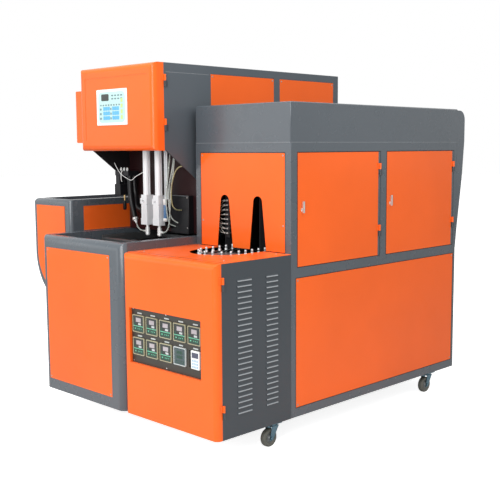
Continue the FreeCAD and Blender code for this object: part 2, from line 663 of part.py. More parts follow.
panels = keep(body("head_panels"))
for number, across in enumerate(side_panels, 1):
    flush_panel(panels, f"right_{number}", "x", across, side_panel_z, "head_right", "-")
    flush_panel(panels, f"left_{number}", "x", across, side_panel_z, "head_left", "+")
block(panels, "column", head_x, ("column_front", "column_front + skin"), ("bed_rim", "head_under"))

cover = keep(body("head_left_cover"))
cover_y = ("head_front", "head_front + cover_deep")
cover_z = ("head_under + cover_low", "head_under + cover_low + cover_tall")
hump = block(cover, "hump", ("head_left - cover_out", "head_left"), cover_y, cover_z)
round_edges(cover, "edges", hump, [
    {"x": "head_left - cover_out", "y": cover_y[0]},
    {"x": "head_left - cover_out", "y": cover_y[1]},
    {"x": "head_left - cover_out", "z": cover_z[0]},
    {"x": "head_left - cover_out", "z": cover_z[1]},
], "cover_round")
block(cover, "hollow", ("head_left - cover_out + cover_round", "head_left + 1"),
      (f"{cover_y[0]} + skin", f"{cover_y[1]} - skin"), (f"{cover_z[0]} + skin", f"{cover_z[1]} - skin"), cut=True)

# ---------------------------------------------------------------- blowing stations
CAVITIES = ("head_mid - cavity_step / 2", "head_mid + cavity_step / 2")


def square(item, name, x, face, z, cut=False):
    """An upright square block centred on a cavity."""
    return block(item, name, (f"{x} - {face} / 2", f"{x} + {face} / 2"), (f"station - {face} / 2", f"station + {face} / 2"),
                 z, cut)


stretch = keep(body("stretch_cylinders"))
for side, x in enumerate(CAVITIES, 1):
    bar(stretch, f"barrel_{side}", "z", (x, "station"), ("flange_top", "barrel_top"), "barrel_round")
    square(stretch, f"flange_{side}", x, "flange_face", ("flange_under", "flange_top"))
    facet_bar(stretch, f"bore_{side}", 8, "z", (x, "station"), ("flange_under - 1", "barrel_top + 1"),
              around("stretch_round + fit_gap", 8), cut=True)

sealing = keep(body("seal_cylinders"))
for side, x in enumerate(CAVITIES, 1):
    square(sealing, f"body_{side}", x, "seal_face", ("seal_under", "flange_under"))
    square(sealing, f"block_{side}", x, "block_face", ("block_under", "seal_under"))
    facet_bar(sealing, f"rod_bore_{side}", 8, "z", (x, "station"), ("block_under - 1", "flange_under + 1"),
              around("stretch_round + fit_gap", 8), cut=True)
    facet_bar(sealing, f"stem_bore_{side}", 12, "z", (x, "station"), ("block_under - 1", "nozzle_top + stem_up + 1"),
              around("stem_round + run_gap", 12), cut=True)

for side, (x, out) in enumerate(zip(CAVITIES, ("-", "+")), 1):
    nozzle = keep(body(f"blow_nozzle_{side}"))
    bar(nozzle, "barrel", "z", (x, "station"), ("nozzle_tip + 6", "nozzle_top"), "nozzle_round")
    cone(nozzle, "tip", (x, "station"), ("nozzle_tip", "nozzle_tip + 6"), ("stem_round", "nozzle_round"))
    facet_bar(nozzle, "stem", 12, "z", (x, "station"), ("nozzle_top", "nozzle_top + stem_up"), "stem_round")
    reach = [x, f"{x} {out} elbow_out"]
    if out == "-":
        reach.reverse()
    facet_bar(nozzle, "elbow", 8, "x", ("station", "nozzle_top - nozzle_tall / 2"), reach, "elbow_round")
    facet_bar(nozzle, "passage", 8, "z", (x, "station"), ("nozzle_tip - 1", "nozzle_top + stem_up + 1"),
              around("stretch_round + fit_gap", 8), cut=True)

crosshead = keep(body("stretch_crosshead"))
block(crosshead, "bar", ("head_mid - cavity_step", "head_mid + cavity_step"), ("station - bar_half", "station + bar_half"),
      ("bar_low", "bar_top"))
for side, x in enumerate(CAVITIES, 1):
    facet_bar(crosshead, f"rod_{side}", 8, "z", (x, "station"), ("nozzle_tip", "bar_low"), "stretch_round")

guides = keep(body("guide_shafts"))
facet_bar(guides, "middle", 12, "z", ("head_mid", "station + flange_face / 2 + guide_round"),
          ("block_under", "plate_low"), "guide_round")
for number in range(2):
    facet_bar(guides, f"pipe_{number + 1}", 8, "z", (f"head_mid + pipe_first + {number} * pipe_step", "station"),
              ("flange_top", "plate_low"), "pipe_round")

valves = keep(body("valve_box"))
valve_x = ("head_right - valve_box_in - valve_box_wide", "head_right - valve_box_in")
case = block(valves, "case", valve_x, ("column_front - valve_box_deep", "column_front"),
             ("bed_rim", "bed_rim + valve_box_tall"))
round_edges(valves, "edges", case, [{"x": valve_x[0], "y": "column_front - valve_box_deep"},
                                    {"x": valve_x[1], "y": "column_front - valve_box_deep"}], "skin")

# the valve island on the left: a manifold on the column with three solenoid valves on it
island = keep(body("air_valve_block"))
block(island, "manifold", ("head_left + cheek", "head_left + cheek + 60"), ("column_front - 125", "column_front"),
      ("bed_rim + 220", "bed_rim + 290"))
for number in range(3):
    block(island, f"valve_{number + 1}", ("head_left + cheek + 8", "head_left + cheek + 48"),
          (f"column_front - 120 + {number} * 38", f"column_front - 90 + {number} * 38"), ("bed_rim + 290", "bed_rim + 345"))
block(island, "outlets", ("head_left + cheek + 8", "head_left + cheek + 145"), ("column_front - 125", "column_front - 40"),
      ("bed_rim + 345", "bed_rim + 375"))

# ---------------------------------------------------------------- clamp and mould
clamp_x = ("bed_left + bed_wall + platen_gap + guard_thick", "bed_right - bed_wall - platen_gap - guard_thick")
plate_z = ("deck_top", "platen_top")
TIE_BARS = [(f"head_mid {a} tie_side", f"clamp_mid {b} tie_rise") for a in "+-" for b in "+-"]

plates = keep(body("clamp_plates"))
block(plates, "front", clamp_x, ("front_platen", "front_mould"), plate_z)
block(plates, "rear", clamp_x, ("end_plate", "end_plate_back"), plate_z)
block(plates, "left_guard", (f"{clamp_x[0]} - guard_thick", clamp_x[0]), ("front_platen", "end_plate_back"),
      ("deck_top", "bed_rim - guard_thick * 5"))
block(plates, "right_guard", (clamp_x[1], f"{clamp_x[1]} + guard_thick"), ("front_platen", "end_plate_back"),
      ("deck_top", "bed_rim - guard_thick * 5"))
facet_bar(plates, "rod_hole", 12, "y", ("head_mid", "clamp_mid"), ("end_plate - 1", "end_plate_back + 1"),
          around("ram_rod + fit_gap", 12), cut=True)
for number, middle in enumerate(TIE_BARS, 1):
    for name, ends in (("front", ("front_platen - 1", "front_mould + 1")), ("rear", ("end_plate - 1", "end_plate_back + 1"))):
        facet_bar(plates, f"{name}_tie_hole_{number}", 12, "y", middle, ends, around("tie_round + run_gap", 12), cut=True)

ties = keep(body("tie_bars"))
for number, middle in enumerate(TIE_BARS, 1):
    bar(ties, f"bar_{number}", "y", middle, ("front_platen", "end_plate_back"), "tie_round")


def mould(label, face, back):
    """One half of the two-cavity mould, its face at the bottles' parting line."""
    item = body(label)
    reach = (back, face) if amount(back) < amount(face) else (face, back)
    block(item, "block", ("head_mid - mould_wide / 2", "head_mid + mould_wide / 2"), reach, ("mould_under", "mould_over"))
    for side, x in enumerate(CAVITIES, 1):
        low = "mould_under + bottle_floor"
        high = f"{low} + bottle_body"
        bar(item, f"bottle_{side}", "z", (x, face), (low, high), "bottle_round", cut=True)
        cone(item, f"shoulder_{side}", (x, face), (high, f"{high} + bottle_shoulder"), ("bottle_round", "neck_round"),
             cut=True)
        bar(item, f"neck_{side}", "z", (x, face), (f"{high} + bottle_shoulder", "mould_over + 1"), "neck_round", cut=True)
    return keep(item)


mould("mould_front_half", "mould_face", "front_mould")
mould("mould_rear_half", "rear_face", "rear_mould")

platen = keep(body("moving_platen"))
block(platen, "plate", ("head_mid - tie_side - tie_round * 2", "head_mid + tie_side + tie_round * 2"),
      ("rear_mould", "rear_platen"), ("deck_top + fit_gap", "platen_top"))
for number, middle in enumerate(TIE_BARS, 1):
    facet_bar(platen, f"tie_hole_{number}", 12, "y", middle, ("rear_mould - 1", "rear_platen + 1"),
              around("tie_round + run_gap", 12), cut=True)
rod_end = "end_plate_back + clamp_travel + rear_room / 2"
bar(platen, "rod", "y", ("head_mid", "clamp_mid"), ("rear_platen", rod_end), "ram_rod")
facet_bar(platen, "piston", 16, "y", ("head_mid", "clamp_mid"), (rod_end, f"{rod_end} + piston_thick"),
          "ram_bore - fit_gap")

ram = keep(body("clamp_cylinder"))
bar(ram, "tube", "y", ("head_mid", "clamp_mid"), ("end_plate_back", "ram_back"), "ram_round")
facet_bar(ram, "bore", 16, "y", ("head_mid", "clamp_mid"), ("end_plate_back + ram_wall", "ram_back - ram_wall"),
          around("ram_bore", 16), cut=True)
facet_bar(ram, "gland", 12, "y", ("head_mid", "clamp_mid"), ("end_plate_back - 1", "end_plate_back + ram_wall + 1"),
          around("ram_rod + run_gap", 12), cut=True)

# ---------------------------------------------------------------- control cabinet and table
cabinet = keep(body("control_cabinet"))
cabinet_x = ("oven_left", "right_side")
cabinet_y = ("cabinet_front", "oven_front")
block(cabinet, "shell", cabinet_x, cabinet_y, ("under", "cabinet_top"))
block(cabinet, "hollow", ("oven_left + cabinet_sheet", "right_side - cabinet_sheet"), ("cabinet_front + cabinet_sheet",
      "oven_front + 1"), ("under + cabinet_sheet", "cabinet_top + 1"), cut=True)
block(cabinet, "doorway", ("oven_left + bed_wall", "right_side - bed_wall"), ("cabinet_front - 1",
      "cabinet_front + cabinet_sheet + 1"), ("under + bed_wall", "cabinet_top - bed_wall"), cut=True)
for column, front, wide in (("front", "louvre_front", "louvre_wide"), ("back", "louvre_back", "louvre_short")):
    near = f"cabinet_front + {front}"
    far = f"cabinet_front + {front} + {wide}"
    low = "under + louvre_low"
    hood = profile(cabinet, f"{column}_louvre", [
        ("right_side", low),
        ("right_side + louvre_out", low),
        ("right_side", f"{low} + louvre_tall"),
    ], (near, far), "XZ_Plane")
    slit = block(cabinet, f"{column}_slit", ("right_side - cabinet_sheet - 1", "right_side + louvre_out - 1.5"),
                 (f"{near} + 2", f"{far} - 2"), (f"{low} - 1", f"{low} + louvre_tall / 3"), cut=True)
    doc.recompute()
    rows = cabinet.newObject("PartDesign::LinearPattern", f"control_cabinet_{column}_louvres")
    rows.Originals = [hood, slit]
    rows.Direction = (origin_part(cabinet, "Z_Axis"), [""])
    rows.Mode = "Spacing"
    bind(rows, "Offset", "louvre_step")
    bind(rows, "Occurrences", "louvre_count")
    cabinet.Tip = rows

table = keep(body("table_plate"))
block(table, "sheet", cabinet_x, cabinet_y, ("cabinet_top", "table_top"))
bar(table, "opening_front", "z", ("conveyor", "wheel_front"), ("cabinet_top - 1", "table_top + 1"), "table_hole", cut=True)
block(table, "opening_back", ("conveyor - table_hole", "conveyor + table_hole"), ("wheel_front", "oven_front + 1"),
      ("cabinet_top - 1", "table_top + 1"), cut=True)


def hinge(item, name, x, y, middle, leaf_y, upper):
    """Half of a lift-off hinge: knuckle and leaf, with the pin on the lower half or its bore in the upper one.

    x and y place the pin, middle is the height where the halves meet and leaf_y the leaf's reach.
    """
    ends = (middle, f"{middle} + knuckle_tall") if upper else (f"{middle} - knuckle_tall", middle)
    facet_bar(item, f"{name}_knuckle", 8, "z", (x, y), ends, "knuckle_round")
    block(item, f"{name}_leaf", (f"{x} - knuckle_round", f"{x} - knuckle_round + leaf"), leaf_y, ends)
    if upper:
        bar(item, f"{name}_bore", "z", (x, y), (f"{middle} - 1", f"{middle} + pin_up + 1"),
            "pin_round + run_gap", cut=True)
    else:
        bar(item, f"{name}_pin", "z", (x, y), (middle, f"{middle} + pin_up"), "pin_round")


# every door has two hinges; the height is where the upper and lower halves meet
DOORS = {
    "control_door": ("right_side + knuckle_round", "cabinet_front + knuckle_round",
                     ("control_low + hinge_low", "control_high - hinge_in")),
    "head_door": ("head_right + knuckle_round", "head_front + knuckle_round",
                  ("head_under + hinge_low", "head_top - hinge_in")),
    "heater_door_1": ("right_side + knuckle_round", "oven_front + door_first + door_wide + knuckle_round * 2",
                      ("oven_door_low + hinge_low", "oven_door_high - hinge_in")),
    "heater_door_2": ("right_side + knuckle_round", "oven_front + door_first + door_step + door_wide + knuckle_round * 2",
                      ("oven_door_low + hinge_low", "oven_door_high - hinge_in")),
}

pins = keep(body("hinge_pins"))
for door, (x, y, heights) in DOORS.items():
    for number, middle in enumerate(heights, 1):
        hinge(pins, f"{door}_{number}", x, y, middle, (y, f"{y} + leaf_wide"), upper=False)

door = keep(body("control_door"))
pan = block(door, "pan", ("oven_left", "right_side"), ("control_face", "cabinet_front"), ("control_low", "control_high"))
round_edges(door, "bullnose", pan, [
    {"x": "oven_left", "y": "control_face"},
    {"x": "right_side", "y": "control_face"},
    {"y": "control_face", "z": "control_high"},
], "control_door_round")
block(door, "hollow", ("oven_left + control_door_round + skin", "right_side - control_door_round - skin"),
      ("control_face + skin", "cabinet_front + 1"), ("control_low + skin", "control_high - control_door_round - skin"),
      cut=True)
block(door, "window", ("window_left", "window_right"), ("control_face - 1", "control_face + skin + 1"),
      ("window_under", "window_over"), cut=True)
hinge_x, hinge_y, heights = DOORS["control_door"]
for number, middle in enumerate(heights, 1):
    hinge(door, f"hinge_{number}", hinge_x, hinge_y, middle, (f"{hinge_y} - leaf_wide", hinge_y), upper=True)

tray = keep(body("instrument_panel"))
tray_x = ("window_left - tray_edge", "window_right + tray_edge")
tray_z = ("window_under - tray_edge", "window_over + tray_edge")
block(tray, "tray", tray_x, ("tray_front", "tray_back"), tray_z)
block(tray, "recess", ("window_left", "window_right"), ("tray_front - 1", "tray_back - skin"), ("window_under", "window_over"),
      cut=True)
gauges = keep(body("panel_instruments"))
gauge_places = [(f"(window_left + window_right) / 2 + {column - 2} * gauge_step",
                 f"window_under + gauge_low + {row} * gauge_rise") for row in range(2) for column in range(5)]
for number, (x, z) in enumerate(gauge_places, 1):
    face = ((f"{x} - gauge_face / 2", f"{x} + gauge_face / 2"), (f"{z} - gauge_face / 2", f"{z} + gauge_face / 2"))
    case = ((f"{x} - gauge_case / 2", f"{x} + gauge_case / 2"), (f"{z} - gauge_case / 2", f"{z} + gauge_case / 2"))
    glass = ((f"{x} - gauge_face / 2 + gauge_rim", f"{x} + gauge_face / 2 - gauge_rim"),
             (f"{z} - gauge_face / 2 + gauge_rim", f"{z} + gauge_face / 2 - gauge_rim"))
    block(tray, f"cutout_{number}", (f"{case[0][0]} - fit_gap", f"{case[0][1]} + fit_gap"),
          ("tray_back - skin - 1", "tray_back + 1"), (f"{case[1][0]} - fit_gap", f"{case[1][1]} + fit_gap"), cut=True)
    block(gauges, f"bezel_{number}", face[0], ("tray_back - skin - gauge_rim", "tray_back - skin"), face[1])
    block(gauges, f"case_{number}", case[0], ("tray_back - skin", "tray_back - skin + gauge_deep"), case[1])
    block(gauges, f"glass_{number}", glass[0], ("tray_back - skin - gauge_rim - 1", "tray_back - skin - gauge_rim + 1.5"),
          glass[1], cut=True)

# ---------------------------------------------------------------- head door and keypad
door = keep(body("head_door"))
pan = block(door, "pan", ("head_left", "head_right"), ("door_face", "head_front"), ("head_under", "head_top"))
round_edges(door, "bullnose", pan, [
    {"x": "head_left", "y": "door_face"},
    {"x": "head_right", "y": "door_face"},
    {"y": "door_face", "z": "head_top"},
    {"y": "door_face", "z": "head_under"},
], "head_door_round")
block(door, "hollow", ("head_left + head_door_round + skin", "head_right - head_door_round - skin"),
      ("door_face + skin * 2", "head_front + 1"), ("head_under + head_door_round + skin", "head_top - head_door_round - skin"),
      cut=True)
block(door, "field", ("head_left + field_in", "head_right - field_in"), ("door_face - 1", "door_face + field_deep"),
      ("head_under + field_in", "head_top - field_in"), cut=True)
hinge_x, hinge_y, heights = DOORS["head_door"]
for number, middle in enumerate(heights, 1):
    hinge(door, f"hinge_{number}", hinge_x, hinge_y, middle, (f"{hinge_y} - leaf_wide", hinge_y), upper=True)

keypad = keep(body("keypad"))
key_x = ("head_left + keypad_in", "head_left + keypad_in + keypad_wide")
key_z = ("head_under + keypad_low", "head_under + keypad_low + keypad_tall")
pad = block(keypad, "pad", key_x, ("door_face + field_deep - keypad_thick", "door_face + field_deep"), key_z)
round_edges(keypad, "corners", pad, [{"x": a, "z": b} for a in key_x for b in key_z], "knuckle_round")

# ---------------------------------------------------------------- oven
oven = keep(body("heater_frame"))
oven_inside_x = ("oven_left + post_wide", "right_side - post_wide")
oven_inside_y = ("oven_front + post_wide", "oven_back - post_wide")
block(oven, "shell", cabinet_x, ("oven_front", "oven_back"), ("under", "oven_top"))
block(oven, "hollow", oven_inside_x, oven_inside_y, ("under + post_wide", "oven_top - post_wide"), cut=True)
gate_x = ("oven_left + front_panel_side", "right_side - front_panel_side")
ledge_window(oven, "front", "y", gate_x, ("front_panel_low", "front_panel_high"), "oven_front", "+", "post_wide + 1")
block(oven, "gate", (f"{gate_x[0]} + rebate_edge", f"{gate_x[1]} - rebate_edge"), ("oven_front - 1",
      "oven_front + post_wide + 1"), ("table_top - front_gap_low", "table_top + rebate_edge * 2"), cut=True)
lower_y = ("oven_front + lower_panel_in", "oven_front + lower_panel_in + lower_panel_wide")
lower_z = ("under + lower_panel_low", "under + lower_panel_low + lower_panel_tall")
ledge_window(oven, "lower", "x", lower_y, lower_z, "right_side", "-", "post_wide + 1")
oven_doors = [(f"oven_front + door_first + {number} * door_step",
               f"oven_front + door_first + {number} * door_step + door_wide") for number in range(2)]
for number, (near, far) in enumerate(oven_doors, 1):
    block(oven, f"doorway_{number}", ("right_side - post_wide - 1", "right_side + 1"), (f"{near} - door_gap",
          f"{far} + door_gap"), ("oven_door_low - door_gap", "oven_door_high + door_gap"), cut=True)
beams = [("oven_front + beam_step", "oven_front + beam_step + beam_tall"),
         ("oven_back - post_wide - beam_back - beam_tall", "oven_back - post_wide - beam_back")]
for number, across in enumerate(beams, 1):
    block(oven, f"beam_{number}", oven_inside_x, across, ("bed_plate_under - beam_tall", "bed_plate_under"))

hood = keep(body("heater_hood"))
lid = block(hood, "lid", cabinet_x, ("oven_front", "oven_back"), ("oven_top", "hood_top"))
round_edges(hood, "edges", lid, [
    {"x": "oven_left", "y": "oven_front"},
    {"x": "right_side", "y": "oven_front"},
    {"y": "oven_front", "z": "hood_top"},
    {"x": "oven_left", "z": "hood_top"},
    {"x": "right_side", "z": "hood_top"},
], "hood_edge")
block(hood, "hollow", ("oven_left + hood_edge + skin", "right_side - hood_edge - skin"), ("oven_front + hood_edge + skin",
      "oven_back - skin"), ("oven_top - 1", "hood_top - hood_edge - skin"), cut=True)

front_panel = keep(body("heater_front_panel"))
flush_panel(front_panel, "sheet", "y", gate_x, ("front_panel_low", "front_panel_high"), "oven_front", "+")
for side, x in (("left", "slot_left"), ("right", "slot_right")):
    arch = "front_panel_low + slot_rise"
    taper(front_panel, f"{side}_slot", (f"{x} - slot_low_half", f"{x} + slot_low_half", "oven_front - 1",
          "oven_front + skin + 1"), (f"{x} - slot_top_half", f"{x} + slot_top_half", "oven_front - 1",
          "oven_front + skin + 1"), ("front_panel_low - 1", arch), cut=True)
    bar(front_panel, f"{side}_arch", "y", (x, arch), ("oven_front - 1", "oven_front + skin + 1"), "slot_top_half", cut=True)

lower_panel = keep(body("heater_lower_panel"))
flush_panel(lower_panel, "sheet", "x", lower_y, lower_z, "right_side", "-")

cowl = keep(body("rear_cowl"))
knee = "(under + cowl_low + under + cowl_knee) / 2"
hump = profile(cowl, "hump", [
    ("oven_back", "under + cowl_low"),
    ("oven_back + cowl_out * 0.2", "under + cowl_low + (cowl_knee - cowl_low) * 0.2"),
    ("oven_back + cowl_out * 0.75", "under + cowl_low + (cowl_knee - cowl_low) * 0.65"),
    ("cowl_back", "under + cowl_knee"),
    ("cowl_back", "hood_top - hood_edge"),
    ("oven_back", "hood_top - hood_edge"),
], cabinet_x)
round_edges(cowl, "top", hump, [{"y": "cowl_back", "z": "hood_top - hood_edge"}], "cowl_round")
block(cowl, "duct", ("oven_left + skin", "right_side - skin"), ("oven_back - 1", "oven_back + cowl_out / 2"),
      ("under + cowl_knee - cowl_out", "hood_top - cowl_round"), cut=True)

for number, (near, far) in enumerate(oven_doors, 1):
    door = keep(body(f"heater_door_{number}"))
    block(door, "pan", ("right_side - door_thick", "right_side"), (near, far), ("oven_door_low", "oven_door_high"))
    block(door, "hollow", ("right_side - door_thick - 1", "right_side - skin"), (f"{near} + door_thick",
          f"{far} - door_thick"), ("oven_door_low + door_thick", "oven_door_high - door_thick"), cut=True)
    latch_y = f"{near} + latch_in"
    latch_z = "(oven_door_low + oven_door_high) / 2"
    bar(door, "spindle_hole", "x", (latch_y, latch_z), ("right_side - skin - 1", "right_side + 1"),
        "spindle_round + run_gap", cut=True)
    hinge_x, hinge_y, heights = DOORS[f"heater_door_{number}"]
    for step, middle in enumerate(heights, 1):
        hinge(door, f"hinge_{step}", hinge_x, hinge_y, middle, (f"{hinge_y} - leaf_wide", hinge_y), upper=True)
    latch = keep(body(f"door_latch_{number}"))
    facet_bar(latch, "rose", 16, "x", (latch_y, latch_z), ("right_side", "right_side + leaf"), "latch_plate")
    bar(latch, "spindle", "x", (latch_y, latch_z), ("right_side - skin - leaf", "right_side"), "spindle_round")
    block(latch, "lever", ("right_side + leaf", "right_side + latch_out"), (f"{latch_y} - latch_half",
          f"{latch_y} + latch_half"), (f"{latch_z} - latch_down", f"{latch_z} + latch_up"))

# ---------------------------------------------------------------- lamp banks
banks = keep(body("lamp_banks"))
bank_y = ("oven_front + lamp_front", "oven_back - lamp_back")
bank_z = ("bed_plate_top", "bed_plate_top + reflector_tall")
for side, x, out in (("left", "slot_left", "-"), ("right", "slot_right", "+")):
    inner = "+" if out == "-" else "-"
    edges = [f"{x} {out} reflector_side {out} reflector", f"{x} {out} reflector_side"]
    faces = [f"{x} {inner} reflector_inner", f"{x} {inner} reflector_inner {inner} reflector"]
    if out == "+":
        edges.reverse()
        faces.reverse()
    block(banks, f"{side}_outer", edges, bank_y, ("bed_plate_under", bank_z[1]))
    block(banks, f"{side}_inner", faces, bank_y, bank_z)
    holder = (edges[1], f"{x} {out} (lamp_side - lamp_round * 2)") if out == "-" else (
        f"{x} {out} (lamp_side - lamp_round * 2)", edges[0])
    for end, y in (("front", (bank_y[0], f"{bank_y[0]} + reflector")), ("back", (f"{bank_y[1]} - reflector", bank_y[1]))):
        block(banks, f"{side}_{end}_holder", holder, y, ("table_top + lamp_low - lamp_step", bank_z[1]))

lamps = keep(body("infrared_lamps"))
terminals = keep(body("lamp_terminals"))
for side, x in (("left", "slot_left - lamp_side"), ("right", "slot_right + lamp_side")):
    for tier in range(round(amount("lamp_count"))):
        z = f"table_top + lamp_low + {tier} * lamp_step"
        facet_bar(lamps, f"{side}_{tier + 1}", 8, "y", (x, z), (f"{bank_y[0]} + reflector", f"{bank_y[1]} - reflector"), "lamp_round")
        for row, shift in enumerate(("- terminal_step / 2", "+ terminal_step / 2"), 1):
            if side == "right" and row == 1:
                continue
            block(terminals, f"{side}_{tier + 1}_{row}", (f"{x} {shift} - terminal / 2", f"{x} {shift} + terminal / 2"),
                  (f"{bank_y[0]} - terminal_long", bank_y[0]), (f"{z} - terminal / 2", f"{z} + terminal / 2"))

# ---------------------------------------------------------------- conveyor
# the links and the mandrel stand round the origin here and are copied along the chain below
link_x = ("-chain_pitch / 2 - plate_half", "chain_pitch / 2 + plate_half")
link_y = ("-plate_half", "plate_half")
inner_link = body("inner_link")
block(inner_link, "lower", link_x, link_y, ("roller_under - plate_thick", "roller_under"))
for side, x in enumerate(("-chain_pitch / 2", "chain_pitch / 2"), 1):
    facet_bar(inner_link, f"roller_{side}", 6, "z", (x, "0"), ("roller_under", "roller_top"), "roller_round")
block(inner_link, "upper", link_x, link_y, ("roller_top", "roller_top + plate_thick"))
outer_link = body("outer_link")
block(outer_link, "lower", link_x, link_y, ("chain_under", "chain_under + plate_thick"))
block(outer_link, "upper", link_x, link_y, ("chain_top - plate_thick", "chain_top"))
mandrel = body("mandrel")
facet_bar(mandrel, "foot", 6, "z", ("0", "0"), ("chain_top", "chain_top + mandrel_neck"), "mandrel_foot")
facet_bar(mandrel, "tip", 6, "z", ("0", "0"), ("chain_top + mandrel_neck", "chain_top + mandrel_tall"), "mandrel_tip")
doc.recompute()


def chain_pins():
    """The pins in order round the loop: up the right run, round the back, down the left and round the front."""
    middle, front, back = amount("conveyor"), amount("wheel_front"), amount("wheel_back")
    radius, pitch = amount("pitch_round"), amount("chain_pitch")
    links, teeth = round(amount("straight_links")), round(amount("teeth"))
    loop = []
    for centre, start, run, first in ((back, 0, 1, front), (front, 180, -1, back)):
        loop += [Vector(middle + run * radius, first + run * pitch * step, 0) for step in range(links)]
        for step in range(teeth // 2):
            angle = math.radians(start + 360 / teeth * step)
            loop.append(Vector(middle + radius * math.cos(angle), centre + radius * math.sin(angle), 0))
    return loop


pins_round = chain_pins()
links = []
for index, pin in enumerate(pins_round):
    after = pins_round[(index + 1) % len(pins_round)]
    heading = math.degrees(math.atan2(after.y - pin.y, after.x - pin.x))
    link = (inner_link if index % 2 else outer_link).Shape.copy()
    link.Placement = Placement((pin + after) * 0.5, Rotation(Vector(0, 0, 1), heading))
    links.append(link)
chain = keep(doc.addObject("Part::Feature", "conveyor_chain"))
chain.Shape = Part.makeCompound([solid for link in links for solid in link.Solids])
tips = []
for pin in pins_round:
    tip = mandrel.Shape.copy()
    tip.Placement = Placement(pin, Rotation())
    tips += tip.Solids
mandrels = keep(doc.addObject("Part::Feature", "preform_mandrels"))
mandrels.Shape = Part.makeCompound(tips)

for name, y in (("front_sprocket", "wheel_front"), ("rear_sprocket", "wheel_back")):
    wheel = keep(body(name, "conveyor", y))
    low, high = "(roller_under + roller_top - sprocket_thick) / 2", "(roller_under + roller_top + sprocket_thick) / 2"
    bar(wheel, "disc", "z", ("0", "0"), (low, high), "pitch_round - roller_round - plate_thick")
    tooth = wheel.newObject("PartDesign::AdditiveWedge", f"{name}_tooth")
    tooth.Placement = Placement(Vector(), Rotation(Vector(0, 0, 1), -90 + 180 / amount("teeth")))
    root = "pitch_round - roller_round - plate_thick * 2"
    for prop, text in (("Xmin", "-tooth_half"), ("Xmax", "tooth_half"), ("X2min", "-tooth_tip_half"),
                       ("X2max", "tooth_tip_half"), ("Ymin", root), ("Ymax", f"{root} + tooth_tall"),
                       ("Zmin", low), ("Zmax", high), ("Z2min", low), ("Z2max", high)):
        bind(tooth, prop, text)
    doc.recompute()
    ring = wheel.newObject("PartDesign::PolarPattern", f"{name}_teeth")
    ring.Originals = [tooth]
    ring.Axis = (origin_part(wheel, "Z_Axis"), [""])
    ring.Angle = 360
    bind(ring, "Occurrences", "teeth")
    wheel.Tip = ring
    facet_bar(wheel, "hub", 16, "z", ("0", "0"), ("rail_top + fit_gap", f"{high} + plate_thick"), "hub_round")
    facet_bar(wheel, "shaft", 12, "z", ("0", "0"), ("bed_plate_under - shaft_long", "rail_top + fit_gap"), "shaft_round")

guide = keep(body("chain_guide"))
block(guide, "table", ("slot_left - rail_side", "slot_right + rail_side"), ("rail_front", "oven_back - post_wide"),
      ("bed_plate_under", "bed_plate_top"))
for name, x in (("left", "slot_left"), ("right", "slot_right")):
    block(guide, f"{name}_rail", (f"{x} - rail_half", f"{x} + rail_half"), ("wheel_front", "wheel_back"),
          ("bed_plate_top", "rail_top"))
for name, y in (("front", "wheel_front"), ("back", "wheel_back")):
    facet_bar(guide, f"{name}_bearing", 16, "z", ("conveyor", y), ("bed_plate_top", "rail_top"), "hub_round")
    facet_bar(guide, f"{name}_bore", 12, "z", ("conveyor", y), ("bed_plate_under - 1", "rail_top + 1"),
              around("shaft_round + run_gap", 12), cut=True)

drive = keep(body("gear_motor"))
block(drive, "gearbox", ("conveyor - gearbox / 2", "conveyor + gearbox / 2"), ("wheel_back - gearbox / 2",
      "wheel_back + gearbox / 2"), ("bed_plate_under - gearbox_tall", "bed_plate_under"))
bar(drive, "motor", "z", ("conveyor", "wheel_back"), ("bed_plate_under - gearbox_tall - motor_long",
    "bed_plate_under - gearbox_tall"), "motor_round")
facet_bar(drive, "output", 12, "z", ("conveyor", "wheel_back"), ("bed_plate_under - shaft_long - 1",
          "bed_plate_under + 1"), around("shaft_round + run_gap", 12), cut=True)

# ---------------------------------------------------------------- casters
CASTERS = [("caster_right", "cabinet_front + caster_front"), ("caster_right", "cabinet_front + caster_back"),
           ("caster_left", "cabinet_front + caster_front"), ("caster_left", "bed_caster")]
caster_tops = keep(body("caster_plates"))
for number, (x, y) in enumerate(CASTERS, 1):
    block(caster_tops, f"plate_{number}", (f"{x} - caster_plate / 2", f"{x} + caster_plate / 2"),
          (f"{y} - caster_plate / 2", f"{y} + caster_plate / 2"), ("plate_under", "under"))
    facet_bar(caster_tops, f"race_{number}", 8, "z", (x, y), ("fork_top + fit_gap", "plate_under"), "kingpin_round * 2.2")
    bar(caster_tops, f"pin_{number}", "z", (x, y), ("fork_top - fork_thick", "fork_top + fit_gap"), "kingpin_round")

